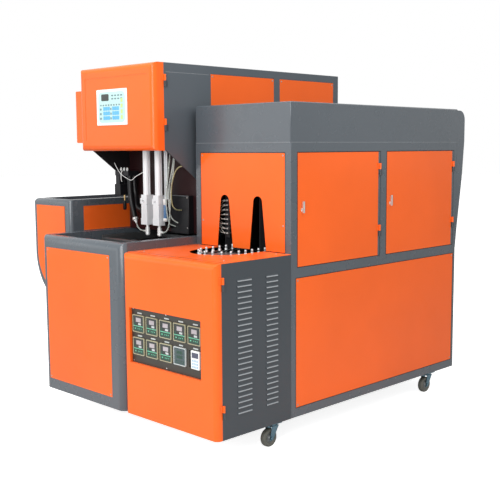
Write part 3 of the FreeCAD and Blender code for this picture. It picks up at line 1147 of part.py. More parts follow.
for number, (x, y) in enumerate(CASTERS, 1):
    fork = keep(body(f"caster_fork_{number}", x, y))
    inner, outer = "wheel_wide / 2 + plate_thick", "wheel_wide / 2 + plate_thick + fork_thick"
    half = "kingpin_round * 2.6"
    block(fork, "crown", (f"-({outer})", outer), (f"-({half})", half), ("fork_top - fork_thick", "fork_top"))
    bar(fork, "pin_hole", "z", ("0", "0"), ("fork_top - fork_thick - 1", "fork_top + 1"),
        "kingpin_round + run_gap", cut=True)
    for side, sheet in (("left", (f"-({outer})", f"-({inner})")), ("right", (inner, outer))):
        foot = (*sheet, "-caster_trail - axle_round * 2.4", "-caster_trail + axle_round * 2.4")
        taper(fork, f"{side}_cheek", foot, (*sheet, f"-({half})", half), ("axle_high - axle_round * 2.4", "fork_top - 1"))
    facet_bar(fork, "axle", 8, "x", ("-caster_trail", "axle_high"), (f"-({outer}) - 1", f"{outer} + 1"), "axle_round")
    wheel = keep(body(f"caster_wheel_{number}", x, f"{y} - caster_trail", "wheel_round"))
    ends = ("-wheel_wide / 2", "wheel_wide / 2")
    tyre = bar(wheel, "tyre", "x", ("0", "0"), ends, "wheel_round")
    round_edges(wheel, "tread", tyre, [{"x": ends[0]}, {"x": ends[1]}], "tread_round", flat=True)
    facet_bar(wheel, "bore", 8, "x", ("0", "0"), (f"{ends[0]} - 1", f"{ends[1]} + 1"), around("axle_round + run_gap", 8),
              cut=True)

# ---------------------------------------------------------------- panel screws
SCREW_TURNS = {"x": Rotation(Vector(0, 1, 0), 90), "y": Rotation(Vector(1, 0, 0), 90), "z": Rotation()}
screws = keep(body("panel_screws"))


def screw(name, face, x, y, z):
    """A hexagon head that stands out of a face looking along +X, -Y or +Z."""
    feature = screws.newObject("PartDesign::AdditivePrism", f"panel_screws_{name}")
    feature.Polygon = 6
    feature.Placement = Placement(Vector(), SCREW_TURNS[face])
    bind(feature, "Circumradius", "screw_round")
    bind(feature, "Height", "screw_out")
    for axis, text in zip("xyz", (x, y, z)):
        bind(feature, f"Placement.Base.{axis}", text)


def corner_screws(name, face, across, up, at):
    """Screws in the four corners of a panel."""
    sides = [f"{across[0]} + screw_in", f"{across[1]} - screw_in"]
    rises = [f"{up[0]} + screw_in", f"{up[1]} - screw_in"]
    for number, (side, rise) in enumerate([(side, rise) for side in sides for rise in rises], 1):
        x, y = (side, at) if face == "y" else (at, side)
        screw(f"{name}_{number}", face, x, y, rise)


corner_screws("bed", "y", bed_panel_x, bed_panel_z, "bed_front")
corner_screws("oven", "y", gate_x, ("front_panel_low + slot_rise / 2", "front_panel_high"), "oven_front")
corner_screws("lower", "x", lower_y, lower_z, "right_side")
for number, panel in enumerate(side_panels, 1):
    corner_screws(f"head_{number}", "x", panel, side_panel_z, "head_right")
for number, (x, y) in enumerate((("oven_left + 70", "cabinet_front + 60"), ("right_side - 70", "cabinet_front + 85"),
                                 ("oven_left + 70", "oven_front - 40"), ("right_side - 70", "oven_front - 40")), 1):
    screw(f"table_{number}", "z", x, y, "table_top")


# ---------------------------------------------------------------- hoses
HOSE_SIDES = 8


def hose(points, radius):
    """A round hose along straight runs joined by tangent arcs; the points are measured from the cavities' middle.

    Each arc's radius is 0.45 of the shorter run over the tangent of half the turn.
    """
    start = Vector(amount("head_mid"), amount("station"), amount("bed_rim"))
    corners = [start + Vector(*point) for point in points]
    edges = []
    last = corners[0]
    radii = []
    for before, corner, after in zip(corners, corners[1:], corners[2:]):
        back, ahead = before - corner, after - corner
        reach = 0.45 * min(back.Length, ahead.Length)
        back.normalize()
        ahead.normalize()
        half_turn = (math.pi - back.getAngle(ahead)) / 2
        radii.append(reach / math.tan(half_turn))
        into, out = corner + back * reach, corner + ahead * reach
        inner = (back + ahead).normalize()
        centre = corner + inner * math.hypot(reach, radii[-1])
        edges.append(Part.LineSegment(last, into).toShape())
        edges.append(Part.Arc(into, centre - inner * radii[-1], out).toShape())
        last = out
    edges.append(Part.LineSegment(last, corners[-1]).toShape())
    path = Part.Wire(edges)
    ring = Part.makePolygon([Vector(radius * math.cos(turn), radius * math.sin(turn), 0)
                             for turn in (math.radians(360 / HOSE_SIDES * side) for side in range(HOSE_SIDES + 1))])
    ring.Placement = Placement(corners[0], Rotation(Vector(0, 0, 1), corners[1] - corners[0]))
    tube = path.makePipeShell([ring], True, False)
    full = HOSE_SIDES / 2 * math.sin(2 * math.pi / HOSE_SIDES) * radius ** 2 * path.Length
    print(f"hose: {path.Length:.0f} mm, tightest arc {min(radii):.0f} mm, volume {tube.Volume / full:.3f} of the section's")
    return tube


BLACK_HOSES = [
    [(-236, 3, 345), (-236, 3, 255), (-220, 2, 160), (-180, 0, 66)],
    [(-236, 38, 345), (-236, 38, 265), (-206, 34, 185), (-150, 0, 130), (-85.5, 0, 130)],
]
CLEAR_HOSES = [
    [(-180, 0, 66), (-162, -0.9, 23.7), (-128, 0, 2), (-88.5, 0, 2)],
    [(219, -10, 511), (219, -10, 410), (180, -8, 270), (160, 0, 140), (150, 0, 44), (120, 0, 2), (88.5, 0, 2)],
    [(351, -54, 412), (300, -54, 412), (240, -46, 330), (206, -30, 230), (206, -12, 142), (206, 53, 142)],
]
for label, routes, radius in (("black_hoses", BLACK_HOSES, "hose_round"), ("clear_hoses", CLEAR_HOSES, "tube_round")):
    hoses = keep(doc.addObject("Part::Feature", label))
    hoses.Shape = Part.makeCompound([hose(route, amount(radius)) for route in routes])

# ---------------------------------------------------------------- check and write
doc.recompute()
for item in doc.Objects:
    if set(item.State) & {"Invalid", "Error"}:
        raise RuntimeError(f"{item.Name} did not build: {item.State}")
for item in nodes:
    shape = item.Shape
    if shape.isNull() or not shape.isValid():
        raise RuntimeError(f"{item.Label} has no sound shape")
    shape.exportStep(f"parts/{item.Label}.step")
print(len(nodes), "sub-parts,", sum(len(item.Shape.Solids) for item in nodes), "solids")
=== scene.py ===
# %% [markdown]
# # A two-cavity blow moulding machine
#
# The CAD model gives every piece its real size and place. This lesson dresses it: painted sheet
# metal, anodised cylinders, hoses, dials, a keypad and rubber wheels. Nothing in the CAD is moved.
# A piece either gets a better material or is replaced by a finer one that sits in the same place.

# %% Load the frame
import json
import math

import bmesh
import bpy
from mathutils import Matrix, Vector


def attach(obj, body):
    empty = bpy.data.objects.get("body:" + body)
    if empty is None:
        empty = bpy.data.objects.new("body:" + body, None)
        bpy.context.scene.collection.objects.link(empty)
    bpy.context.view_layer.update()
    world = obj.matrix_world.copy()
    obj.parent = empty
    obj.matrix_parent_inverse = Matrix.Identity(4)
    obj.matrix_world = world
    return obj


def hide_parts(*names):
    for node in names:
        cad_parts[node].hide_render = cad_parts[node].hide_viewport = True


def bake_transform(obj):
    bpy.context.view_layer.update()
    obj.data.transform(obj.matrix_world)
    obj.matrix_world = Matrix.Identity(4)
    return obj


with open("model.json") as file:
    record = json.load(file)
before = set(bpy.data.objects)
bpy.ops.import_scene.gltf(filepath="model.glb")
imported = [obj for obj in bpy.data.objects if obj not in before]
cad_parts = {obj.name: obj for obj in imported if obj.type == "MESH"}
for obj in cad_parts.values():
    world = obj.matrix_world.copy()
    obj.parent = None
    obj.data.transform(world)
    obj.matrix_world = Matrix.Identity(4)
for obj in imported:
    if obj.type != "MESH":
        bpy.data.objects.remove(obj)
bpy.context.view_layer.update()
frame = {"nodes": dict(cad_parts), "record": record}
nodes = frame["nodes"]

# %% [markdown]
# ## Small helpers
# A few short functions serve the whole lesson. One puts an object into the scene. The others make
# shader nodes and feed their sockets, each with a plain value or with what another node puts out.

# %% Helpers for objects, shader nodes and materials
finishes = {}


def new_object(name, data):
    """An object that holds this data, linked into the scene."""
    item = bpy.data.objects.new(name, data)
    bpy.context.scene.collection.objects.link(item)
    return item


def fill(tree, sockets, values):
    """Links each named socket to another node's output, or sets it to a plain value."""
    for label, value in values.items():
        if isinstance(value, bpy.types.NodeSocket):
            tree.links.new(value, sockets[label])
        else:
            sockets[label].default_value = value


def add_node(tree, kind, values=None, **settings):
    """A shader node with its settings and its inputs, by name or number; returns its outputs."""
    node = tree.nodes.new("ShaderNode" + kind)
    for label, value in settings.items():
        setattr(node, label, value)
    fill(tree, node.inputs, values or {})
    return node.outputs


def combined(tree, operation, first, second):
    """Two values joined by one sum or test."""
    return add_node(tree, "Math", {0: first, 1: second}, operation=operation)[0]


def remapped(tree, source, low, high, out_low=0.0, out_high=1.0):
    """Stretches a value from one range to another."""
    return add_node(tree, "MapRange", {
        "Value": source, "From Min": low, "From Max": high, "To Min": out_low, "To Max": out_high,
    })["Result"]


def start_material(name):
    """A new material, kept by its name; returns its node tree and the sockets of its shader."""
    material = finishes[name] = bpy.data.materials.new(name)
    material.use_nodes = True
    return material.node_tree, material.node_tree.nodes["Principled BSDF"].inputs


# %% [markdown]
# ## Camera
# The photograph was taken from the right front corner, a little above the table. Its position and
# turn were solved from the machine's long straight edges, so they are written out as numbers here.

# %% Camera
CAMERA_AT = Vector((4.0827, -4.0025, 1.5932))
YAW, PITCH, ROLL = (math.radians(angle) for angle in (44.909, -6.641, -0.351))
LENS, SENSOR_WIDE = 63.2, 36


def make_camera():
    level = math.cos(PITCH)
    ahead = Vector((-math.sin(YAW) * level, math.cos(YAW) * level, math.sin(PITCH)))
    right = Vector((math.cos(YAW), math.sin(YAW), 0))
    up = right.cross(ahead)
    across = right * math.cos(ROLL) + up * math.sin(ROLL)
    upward = up * math.cos(ROLL) - right * math.sin(ROLL)
    data = bpy.data.cameras.new("photo_camera")
    data.lens = LENS
    data.sensor_width = SENSOR_WIDE
    camera = new_object("photo_camera", data)
    turn = Matrix((across, upward, -ahead)).transposed().to_4x4()
    camera.matrix_world = Matrix.Translation(CAMERA_AT) @ turn
    bpy.context.scene.camera = camera
    return camera


camera = make_camera()
print("camera at", tuple(round(v, 2) for v in camera.location), "lens", camera.data.lens)

# %% [markdown]
# ## Studio light
# A product photograph on white has large soft lights and a pale room all round. Here four area
# lamps and an even world do the same. The world is brighter for the camera and for reflections
# than for lighting, so metal shows a white room while the paint keeps the colour that it is given.

# %% World and lamps
bpy.context.scene.view_settings.view_transform = "Standard"
ROOM_LIGHT = 0.46
ROOM_SEEN = 1.0


def make_world():
    world = bpy.data.worlds.new("white_room")
    bpy.context.scene.world = world
    world.use_nodes = True
    tree = world.node_tree
    path = add_node(tree, "LightPath")
    seen = combined(tree, "MAXIMUM", path["Is Camera Ray"], path["Is Transmission Ray"])
    seen = combined(tree, "MAXIMUM", seen, path["Is Glossy Ray"])
    fill(tree, tree.nodes["Background"].inputs, {
        "Color": (1, 1, 1, 1),
        "Strength": remapped(tree, seen, 0, 1, ROOM_LIGHT, ROOM_SEEN),
    })


def area_lamp(name, at, towards, size, watts):
    data = bpy.data.lights.new(name, "AREA")
    data.shape = "RECTANGLE"
    data.size, data.size_y = size
    data.energy = watts
    lamp = new_object(name, data)
    lamp.location = at
    lamp.rotation_euler = (Vector(towards) - Vector(at)).to_track_quat("-Z", "Y").to_euler()
    return lamp


make_world()
lamps = [
    area_lamp("front_left_softbox", (-4.4, -5.8, 2.2), (0, -0.5, 1.0), (5.5, 4.0), 72),
    area_lamp("front_softbox", (3.0, -6.6, 2.6), (0, -0.5, 1.0), (3.6, 2.6), 245),
    area_lamp("high_right_softbox", (2.9, -0.5, 4.4), (0.9, 0.1, 1.6), (2.5, 2.5), 80),
    area_lamp("top_softbox", (-0.5, -2.0, 5.6), (0, -0.4, 1.5), (3.0, 2.0), 175),
]
print("lamps:", [lamp.name for lamp in lamps])

# %% [markdown]
# ## Floor
# The floor is plain and pale. It catches the machine's shadow, and a little extra light that only
# the camera sees lifts it to the white of the photograph's background.

# %% Floor
FLOOR_REACH = 40
FLOOR_LIFT = 0.85


def make_floor():
    mesh = bpy.data.meshes.new("studio_floor")
    turns = ((-1, -1), (1, -1), (1, 1), (-1, 1))
    corners = [(x * FLOOR_REACH, y * FLOOR_REACH, 0) for x, y in turns]
    mesh.from_pydata(corners, [], [(0, 1, 2, 3)])
    floor = new_object("studio_floor", mesh)
    tree, shader = start_material("studio_white")
    seen = add_node(tree, "LightPath")["Is Camera Ray"]
    fill(tree, shader, {
        "Base Color": (0.86, 0.86, 0.86, 1),
        "Roughness": 0.9,
        "Emission Color": (1, 1, 1, 1),
        "Emission Strength": combined(tree, "MULTIPLY", seen, FLOOR_LIFT),
    })
    mesh.materials.append(finishes["studio_white"])
    return floor


floor = make_floor()
print("floor:", floor.name)

# %% [markdown]
# ## Effects that several finishes share
# Real paint is never quite even: powder coating has a fine orange peel, hands leave duller patches
# and dust settles on what faces up. Each effect is one node group with named inputs, built once
# and placed in every material that needs it with its own values. A group puts out masks and
# heights only, and the shader stays in the material.

# %% Helpers for node groups
def node_group(name, inputs, outputs):
    """An empty group, with the sockets that it is given and the ones that it has to feed."""
    group = bpy.data.node_groups.new(name, "ShaderNodeTree")
    for label, value in inputs.items():
        socket = group.interface.new_socket(label, in_out="INPUT", socket_type="NodeSocketFloat")
        socket.default_value = value
    for label in outputs:
        group.interface.new_socket(label, in_out="OUTPUT", socket_type="NodeSocketFloat")
    start = group.nodes.new("NodeGroupInput")
    end = group.nodes.new("NodeGroupOutput")
    return group, start.outputs, end.inputs


def noise_in(group, scale, detail, stretch=(1, 1, 1)):
    """A noise texture in the object's own coordinates, stretched along one axis where asked."""
    place = add_node(group, "TexCoord")["Object"]
    spread = add_node(group, "VectorMath", {0: place, 1: stretch}, operation="MULTIPLY")["Vector"]
    return add_node(group, "TexNoise", {"Vector": spread, "Scale": scale, "Detail": detail})["Fac"]


# %% Powder coat, brushed metal, handling marks and dust
def make_powder_coat():
    """Peel: the fine height of sprayed powder. Tone: slow drifts of the colour over a sheet."""
    sizes = {"Grain Scale": 420, "Drift Scale": 1.6}
    group, given, wanted = node_group("powder_coat", sizes, ["Peel", "Tone"])
    drift = noise_in(group, given["Drift Scale"], 3)
    fill(group, wanted, {
        "Peel": noise_in(group, given["Grain Scale"], 2),
        "Tone": remapped(group, drift, 0.3, 0.7),
    })
    return group


def make_brushed(name, stretch):
    """Streak: long fine scratches along one axis."""
    group, given, wanted = node_group(name, {"Fineness": 60}, ["Streak"])
    fill(group, wanted, {"Streak": noise_in(group, given["Fineness"], 4, stretch)})
    return group


def make_marks():
    """Mask: patches where hands and cloths have dulled a surface."""
    group, given, wanted = node_group("handling_marks", {"Size": 9, "Spread": 0.55}, ["Mask"])
    patches = noise_in(group, given["Size"], 5)
    fill(group, wanted, {"Mask": remapped(group, patches, given["Spread"], 0.8)})
    return group


def make_dust():
    """Mask: dust on surfaces that face up."""
    group, given, wanted = node_group("settled_dust", {"Amount": 0.5}, ["Mask"])
    normal = add_node(group, "NewGeometry")["Normal"]
    upward = remapped(group, add_node(group, "SeparateXYZ", {"Vector": normal})["Z"], 0.7, 1.0)
    patches = remapped(group, noise_in(group, 14, 6), 0.35, 0.75)
    settled = combined(group, "MULTIPLY", upward, patches)
    fill(group, wanted, {"Mask": combined(group, "MULTIPLY", settled, given["Amount"])})
    return group


POWDER = make_powder_coat()
BRUSHED_UP = make_brushed("brushed_upright", (1, 1, 0.03))
BRUSHED_ACROSS = make_brushed("brushed_across", (0.03, 0.03, 1))
MARKS = make_marks()
DUST = make_dust()
print("node groups:", [g.name for g in bpy.data.node_groups])

# %% [markdown]
# ## Finishes
# One function makes each kind of finish. A paint mixes two close tones of its colour by the powder
# coat's drift, and its roughness rises where hands have been. A metal does the same with streaks.

# %% Helpers for one material
def place_group(tree, group, **values):
    """Puts a group into a material with its own values, and returns what it puts out."""
    named = {label.replace("_", " ").title(): value for label, value in values.items()}
    return add_node(tree, "Group", named, node_tree=group)


def mix_colours(tree, mask, first, second):
    """The first colour where the mask is 0 and the second where it is 1."""
    values = {"Factor": mask}
    for index, colour in ((6, first), (7, second)):
        values[index] = (*colour, 1) if isinstance(colour, tuple) else colour
    return add_node(tree, "Mix", values, data_type="RGBA")[2]


def scaled(colour, share):
    return tuple(channel * share for channel in colour)


def two_shades(tree, mask, colour, first, second):
    """The colour times the first share where the mask is 0 and times the second where it is 1."""
    return mix_colours(tree, mask, scaled(colour, first), scaled(colour, second))


def worn(tree, mask, gloss, rise):
    """Roughness that rises from gloss where hands have been."""
    return remapped(tree, mask, 0, 1, gloss, gloss + rise)


def bumped(tree, height, distance, strength=1.0):
    values = {"Distance": distance, "Strength": strength, "Height": height}
    return add_node(tree, "Bump", values)["Normal"]


# %% Painted sheet
DUST_COLOUR = (0.55, 0.52, 0.48)
PEEL_DEPTH = 0.00012


def painted(name, colour, gloss=0.32, drift=0.06, dust=0.25, coat=0.0, shine=0.5):
    tree, shader = start_material(name)
    powder = place_group(tree, POWDER)
    marks = place_group(tree, MARKS)["Mask"]
    settled = place_group(tree, DUST, amount=dust)["Mask"]
    body = two_shades(tree, powder["Tone"], colour, 1 - drift, 1 + drift)
    fill(tree, shader, {
        "Base Color": mix_colours(tree, settled, body, DUST_COLOUR),
        "Roughness": worn(tree, marks, gloss, 0.16),
        "Specular IOR Level": shine,
        "Coat Weight": coat,
        "Coat Roughness": 0.12,
        "Normal": bumped(tree, powder["Peel"], PEEL_DEPTH, 0.6),
    })


# %% Bare metal
STREAK_DEPTH = 0.00003


def metal(name, colour, gloss=0.3, streaks=BRUSHED_ACROSS, fineness=60, tint=0.08, metallic=1.0):
    tree, shader = start_material(name)
    streak = place_group(tree, streaks, fineness=fineness)["Streak"]
    marks = place_group(tree, MARKS, size=16)["Mask"]
    fill(tree, shader, {
        "Base Color": two_shades(tree, streak, colour, 1 - tint, 1 + tint),
        "Metallic": metallic,
        "Roughness": worn(tree, marks, gloss, 0.18),
        "Normal": bumped(tree, streak, STREAK_DEPTH),
    })


# %% Plastic, rubber and ceramic
def moulded(name, colour, gloss=0.4, grain=700, depth=0.00006, shine=0.5):
    tree, shader = start_material(name)
    powder = place_group(tree, POWDER, grain_scale=grain, drift_scale=6)
    marks = place_group(tree, MARKS, size=12)["Mask"]
    fill(tree, shader, {
        "Base Color": two_shades(tree, powder["Tone"], colour, 0.9, 1.08),
        "Roughness": worn(tree, marks, gloss, 0.2),
        "Specular IOR Level": shine,
        "Normal": bumped(tree, powder["Peel"], depth),
    })


# %% Clear tube and quartz
def clear(name, colour, transmission, gloss, index=1.45):
    tree, shader = start_material(name)
    marks = place_group(tree, MARKS, size=30, spread=0.45)["Mask"]
    fill(tree, shader, {
        "Base Color": two_shades(tree, marks, colour, 1, 0.85),
        "Transmission Weight": transmission,
        "IOR": index,
        "Roughness": worn(tree, marks, gloss, 0.15),
    })

# %% The machine's finishes
ORANGE = (0.87, 0.128, 0.014)
GREY = (0.074, 0.089, 0.103)
painted("orange_paint", ORANGE, gloss=0.32, dust=0.08, coat=0.18, shine=0.15)
painted("grey_paint", GREY, gloss=0.27, drift=0.04, dust=0.07, coat=0.12)
metal("dark_steel", (0.16, 0.165, 0.17), 0.42, metallic=0.75)
metal("bright_steel", (0.62, 0.63, 0.64), 0.28)
metal("zinc_plate", (0.11, 0.20, 0.25), 0.30, tint=0.22, fineness=22, metallic=0.8)
metal("chrome", (0.80, 0.81, 0.82), 0.12, tint=0.03)
metal("brass", (0.72, 0.52, 0.24), 0.25)
metal("anodised_aluminium", (0.90, 0.91, 0.93), 0.4, BRUSHED_UP, tint=0.03, metallic=0.15)
metal("reflector_sheet", (0.05, 0.05, 0.055), 0.45, BRUSHED_UP, metallic=0.4)
moulded("black_plastic", (0.010, 0.010, 0.012), 0.38, shine=0.25)
metal("mandrel_steel", (0.62, 0.63, 0.64), 0.4, metallic=0.4)
metal("screw_steel", (0.34, 0.32, 0.30), 0.42, metallic=0.7)
metal("nozzle_steel", (0.86, 0.86, 0.85), 0.38, metallic=0.45, tint=0.12, fineness=30)
# Painted highlight: a pale grey for the folded seams and the valve box's top edge, where the folds
# catch the light.
painted("seam_highlight_grey", (0.19, 0.21, 0.225), gloss=0.25, dust=0.0)
# Painted shade: a darker copy of the grey paint for the control cabinet's side and the hinge pins,
# which get less of the light from above.
painted("cabinet_grey_in_shade", scaled(GREY, 0.6), gloss=0.34, drift=0.05, dust=0.1, shine=0.35)
# Painted shade: near-black strips stand for the shadow in the gaps round the panels, the oven doors
# and the table plate.
painted("gap_shade_black", (0.006, 0.006, 0.007), gloss=0.5, dust=0.0, shine=0.1)
metal("latch_chrome", (0.78, 0.77, 0.74), 0.16, metallic=0.85, tint=0.05)
moulded("terminal_clay", (0.10, 0.095, 0.088), 0.4, 500)
moulded("coupling_blue", (0.08, 0.19, 0.38), 0.35)
clear("yellow_tube", (0.52, 0.50, 0.27), 0.3, 0.25)
moulded("pale_plastic", (0.80, 0.82, 0.80), 0.35)
moulded("black_rubber", (0.006, 0.006, 0.007), 0.34, 300, 0.0001, shine=0.3)
moulded("wheel_rubber", (0.10, 0.10, 0.085), 0.62, 260, 0.00025)
moulded("ceramic", (0.80, 0.76, 0.68), 0.3, 500)
clear("clear_tube", (0.78, 0.83, 0.78), 0.55, 0.2)
clear("quartz_glass", (0.20, 0.19, 0.18), 0.4, 0.2, 1.46)
print("finishes:", len(finishes))

# %% [markdown]
# Two sheet-metal nodes get painted shade where they turn inwards. The orange panel behind the
# blowing heads is painted a deep red brown for the shade that falls there, and the inside of the
# head's grey frame is painted nearly black for its shade. One more group gives a mask that is 1
# inside a box, in the object's own coordinates.

# %% Mask of a box
CORNERS = [(side, axis) for side in ("Low", "High") for axis in "XYZ"]


def make_box_mask():
    """Mask: 1 between the low and high corner, in metres, and 0 outside."""
    bounds = {f"{side} {axis}": 0 for side, axis in CORNERS}
    group, given, wanted = node_group("box_mask", bounds, ["Mask"])
    place = add_node(group, "TexCoord")["Object"]
    parts = add_node(group, "SeparateXYZ", {"Vector": place})
    inside = 1.0
    for side, axis in CORNERS:
        test = "GREATER_THAN" if side == "Low" else "LESS_THAN"
        within = combined(group, test, parts[axis], given[f"{side} {axis}"])
        inside = combined(group, "MULTIPLY", inside, within)
    fill(group, wanted, {"Mask": inside})
    return group


BOX_MASK = make_box_mask()


def paint_with_shaded_box(name, first, second, low, high, **look):
    """A paint with painted shade: a second, darker colour inside a box."""
    painted(name, first, **look)
    tree = finishes[name].node_tree
    shader = tree.nodes["Principled BSDF"].inputs
    bounds = {f"{side}_{axis}": value for (side, axis), value in zip(CORNERS, (*low, *high))}
    mask = place_group(tree, BOX_MASK, **bounds)["Mask"]
    old = shader["Base Color"].links[0].from_socket
    fill(tree, shader, {"Base Color": mix_colours(tree, mask, old, second)})


# Painted shade: darker copies of the orange and the grey paint stand for the shade behind the
# blowing heads and inside the head's frame.
ORANGE_IN_SHADE, GREY_IN_SHADE = (0.022, 0.005, 0.006), (0.010, 0.009, 0.010)
COLUMN_BOX = ((-0.6, -0.53, 0.9), (0.24, -0.4705, 1.6))
HEAD_INSIDE = ((-0.5405, -0.79, 1.05), (0.1790, -0.479, 2.07))
paint_with_shaded_box("head_panel_paint", ORANGE, ORANGE_IN_SHADE, *COLUMN_BOX, gloss=0.42, dust=0.0, shine=0.25)
paint_with_shaded_box("head_frame_paint", GREY, GREY_IN_SHADE, *HEAD_INSIDE, gloss=0.40, drift=0.05, dust=0.1,
         shine=0.4)
print("two-tone paints: the head's panels and its frame")

# %% [markdown]
# Each CAD node takes its finish from the slot that it has in the record. A few nodes get a finer
# one, such as zinc on the caster forks. Sharp CAD edges look false, because real sheet has a small
# fold radius that catches light, so a weld and a narrow bevel are laid over the meshes as
# modifiers.

# %% Dress the CAD nodes
# The control cabinet and the hinge pins take the darker grey, painted shade for the light from
# above that they miss.
OWN_FINISH = {
    "head_panels": "head_panel_paint", "head_frame": "head_frame_paint",
    "hinge_pins": "cabinet_grey_in_shade", "control_cabinet": "cabinet_grey_in_shade", "gear_motor": "grey_paint",
    "door_latch_1": "latch_chrome", "door_latch_2": "latch_chrome", "caster_plates": "zinc_plate",
    "lamp_banks": "reflector_sheet", "lamp_terminals": "terminal_clay",
}
for number in range(1, 5):
    OWN_FINISH[f"caster_fork_{number}"] = "zinc_plate"
SLOT_FINISH = {
    "aluminium": "anodised_aluminium", "clear_plastic": "clear_tube", "quartz": "quartz_glass",
}
SLOT_OF = {part["node"]: part["material_slot"] for part in frame["record"]["subparts"]}


def dress(item, finish):
    for slot in item.material_slots:
        slot.material = finishes[finish]


for label, item in nodes.items():
    slot_finish = SLOT_FINISH.get(SLOT_OF[label], SLOT_OF[label])
    dress(item, OWN_FINISH.get(label, slot_finish))
print("dressed:", len(nodes))

# %% Soft edges on the CAD nodes
MM = 0.001
WELD_REACH = 0.00001
EDGE_ANGLE = math.radians(40)
EDGE_SOFT = {
    0.8: "heater_front_panel instrument_panel",
    1.0: "heater_hood heater_lower_panel bed_panels head_panels side_box_panels",
    1.2: "table_plate mould_front_half mould_rear_half door_latch_1 door_latch_2",
    1.5: "valve_box rear_cowl stretch_crosshead",
    2.0: "bed_frame side_box_frame head_frame heater_door_1 heater_door_2 seal_cylinders "
         "clamp_plates air_valve_block moving_platen",
    2.5: "heater_frame",
    3.0: "gear_motor",
}


def add_bevel(item, name, width):
    """Rounds an object's sharp edges, by a width in millimetres."""
    bevel = item.modifiers.new(name, "BEVEL")
    bevel.width = width * MM
    bevel.segments = 2
    bevel.limit_method = "ANGLE"
    bevel.angle_limit = EDGE_ANGLE
    bevel.harden_normals = True


for width, labels in EDGE_SOFT.items():
    for label in labels.split():
        weld = nodes[label].modifiers.new("join_faces", "WELD")
        weld.merge_threshold = WELD_REACH
        add_bevel(nodes[label], "fold_radius", width)
print("softened by millimetres:", EDGE_SOFT)

# %% [markdown]
# ## Making meshes
# All finer pieces are built in millimetres with a handful of helpers: a box, a plate with rounded
# corners, a ring between two such outlines and a turned shape. The last helpers scale the mesh to
# metres, shade it by angle and let it ride on the body that carries it.

# %% Mesh helpers
BOX_SIDES = ((0, 1, 3, 2), (4, 6, 7, 5), (0, 4, 5, 1), (2, 3, 7, 6), (0, 2, 6, 4), (1, 5, 7, 3))
SMOOTH_ANGLE = math.radians(35)


def add_box(bm, low, high):
    spans = list(zip(low, high))
    corners = [bm.verts.new((x, y, z)) for x in spans[0] for y in spans[1] for z in spans[2]]
    for side in BOX_SIDES:
        bm.faces.new([corners[index] for index in side])


def join_rings(bm, first, second):
    """A band of faces between two closed rings with the same number of points."""
    for index in range(len(first)):
        after = (index + 1) % len(first)
        bm.faces.new((first[index], first[after], second[after], second[index]))


def rounded(centre, wide, tall, corner, steps=4):
    """The outline of a rounded rectangle, seen from the front."""
    points = []
    for turn, (sx, sz) in enumerate(((1, -1), (1, 1), (-1, 1), (-1, -1))):
        for step in range(steps + 1):
            angle = math.radians(-90 + 90 * turn + 90 * step / steps)
            points.append((centre[0] + sx * (wide / 2 - corner) + corner * math.cos(angle),
                           centre[1] + sz * (tall / 2 - corner) + corner * math.sin(angle)))
    return points


def add_plate(bm, outline, front, back):
    """A plate with this outline that faces the operator, from one depth to another."""
    near, far = ([bm.verts.new((x, depth, z)) for x, z in outline] for depth in (front, back))
    bm.faces.new(near)
    bm.faces.new(far[::-1])
    join_rings(bm, far, near)


def add_ring(bm, outer, inner, front, back):
    """A frame between two outlines with the same number of points."""
    rings = [[bm.verts.new((x, depth, z)) for x, z in line]
             for line, depth in ((outer, back), (outer, front), (inner, front), (inner, back))]
    for first, second in zip(rings, rings[1:] + rings[:1]):
        join_rings(bm, first, second)


TURNED_ABOUT = {
    "z": lambda radius, height, turn: (radius * math.cos(turn), radius * math.sin(turn), height),
    "x": lambda radius, height, turn: (height, radius * math.cos(turn), radius * math.sin(turn)),
    "y": lambda radius, height, turn: (radius * math.sin(turn), height, radius * math.cos(turn)),
}


def add_turned(bm, profile, centre, axis, sides):
    """A turned shape from (radius, height) pairs; a radius of 0 closes an end."""
    about = TURNED_ABOUT[axis]
    rings = []
    for radius, height in profile:
        turns = [2 * math.pi * side / sides for side in range(sides)] if radius else [0]
        rings.append([bm.verts.new(Vector(about(radius, height, turn)) + Vector(centre))
                      for turn in turns])
    for low, high in zip(rings, rings[1:]):
        for side in range(sides):
            after = (side + 1) % sides
            ring = [low[side % len(low)], low[after % len(low)],
                    high[after % len(high)], high[side % len(high)]]
            face = list(dict.fromkeys(ring))
            if len(face) > 2:
                bm.faces.new(face)


def finish_piece(bm, name, material, body, bevel, replaces=()):
    """Turns a bmesh in millimetres into a shaded piece in metres that rides on a body."""
    bmesh.ops.recalc_face_normals(bm, faces=bm.faces)
    bmesh.ops.scale(bm, vec=(MM, MM, MM), verts=bm.verts)
    mesh = bpy.data.meshes.new(name)
    bm.to_mesh(mesh)
    bm.free()
    for polygon in mesh.polygons:
        polygon.use_smooth = True
    mesh.set_sharp_from_angle(angle=SMOOTH_ANGLE)
    mesh.materials.append(finishes[material])
    piece = new_object(name, mesh)
    if bevel:
        add_bevel(piece, "edge", bevel)
    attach(piece, body)
    if replaces:
        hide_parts(*replaces)
    return piece


def turned_piece(name, material, body, turned, axis, sides, bevel=0.0, replaces=()):
    """One piece that is made of turned shapes, from the profile and the centre of each."""
    bm = bmesh.new()
    for profile, centre in turned:
        add_turned(bm, profile, centre, axis, sides)
    return finish_piece(bm, name, material, body, bevel, replaces)


def box_piece(name, material, boxes, bevel=0.0):
    """One piece of the frame that is made of boxes, from the two corners of each."""
    bm = bmesh.new()
    for corners in boxes:
        add_box(bm, *corners)
    return finish_piece(bm, name, material, "frame", bevel)


# %% [markdown]
# ## Temperature controllers
# The window in the control door shows ten instruments, 96 mm square as the trade makes them. Eight
# are temperature controllers with a gold-coloured bezel, a display, a green stripe and a row of
# keys. The ninth is a timer and the tenth a counter. They carry no lettering here.

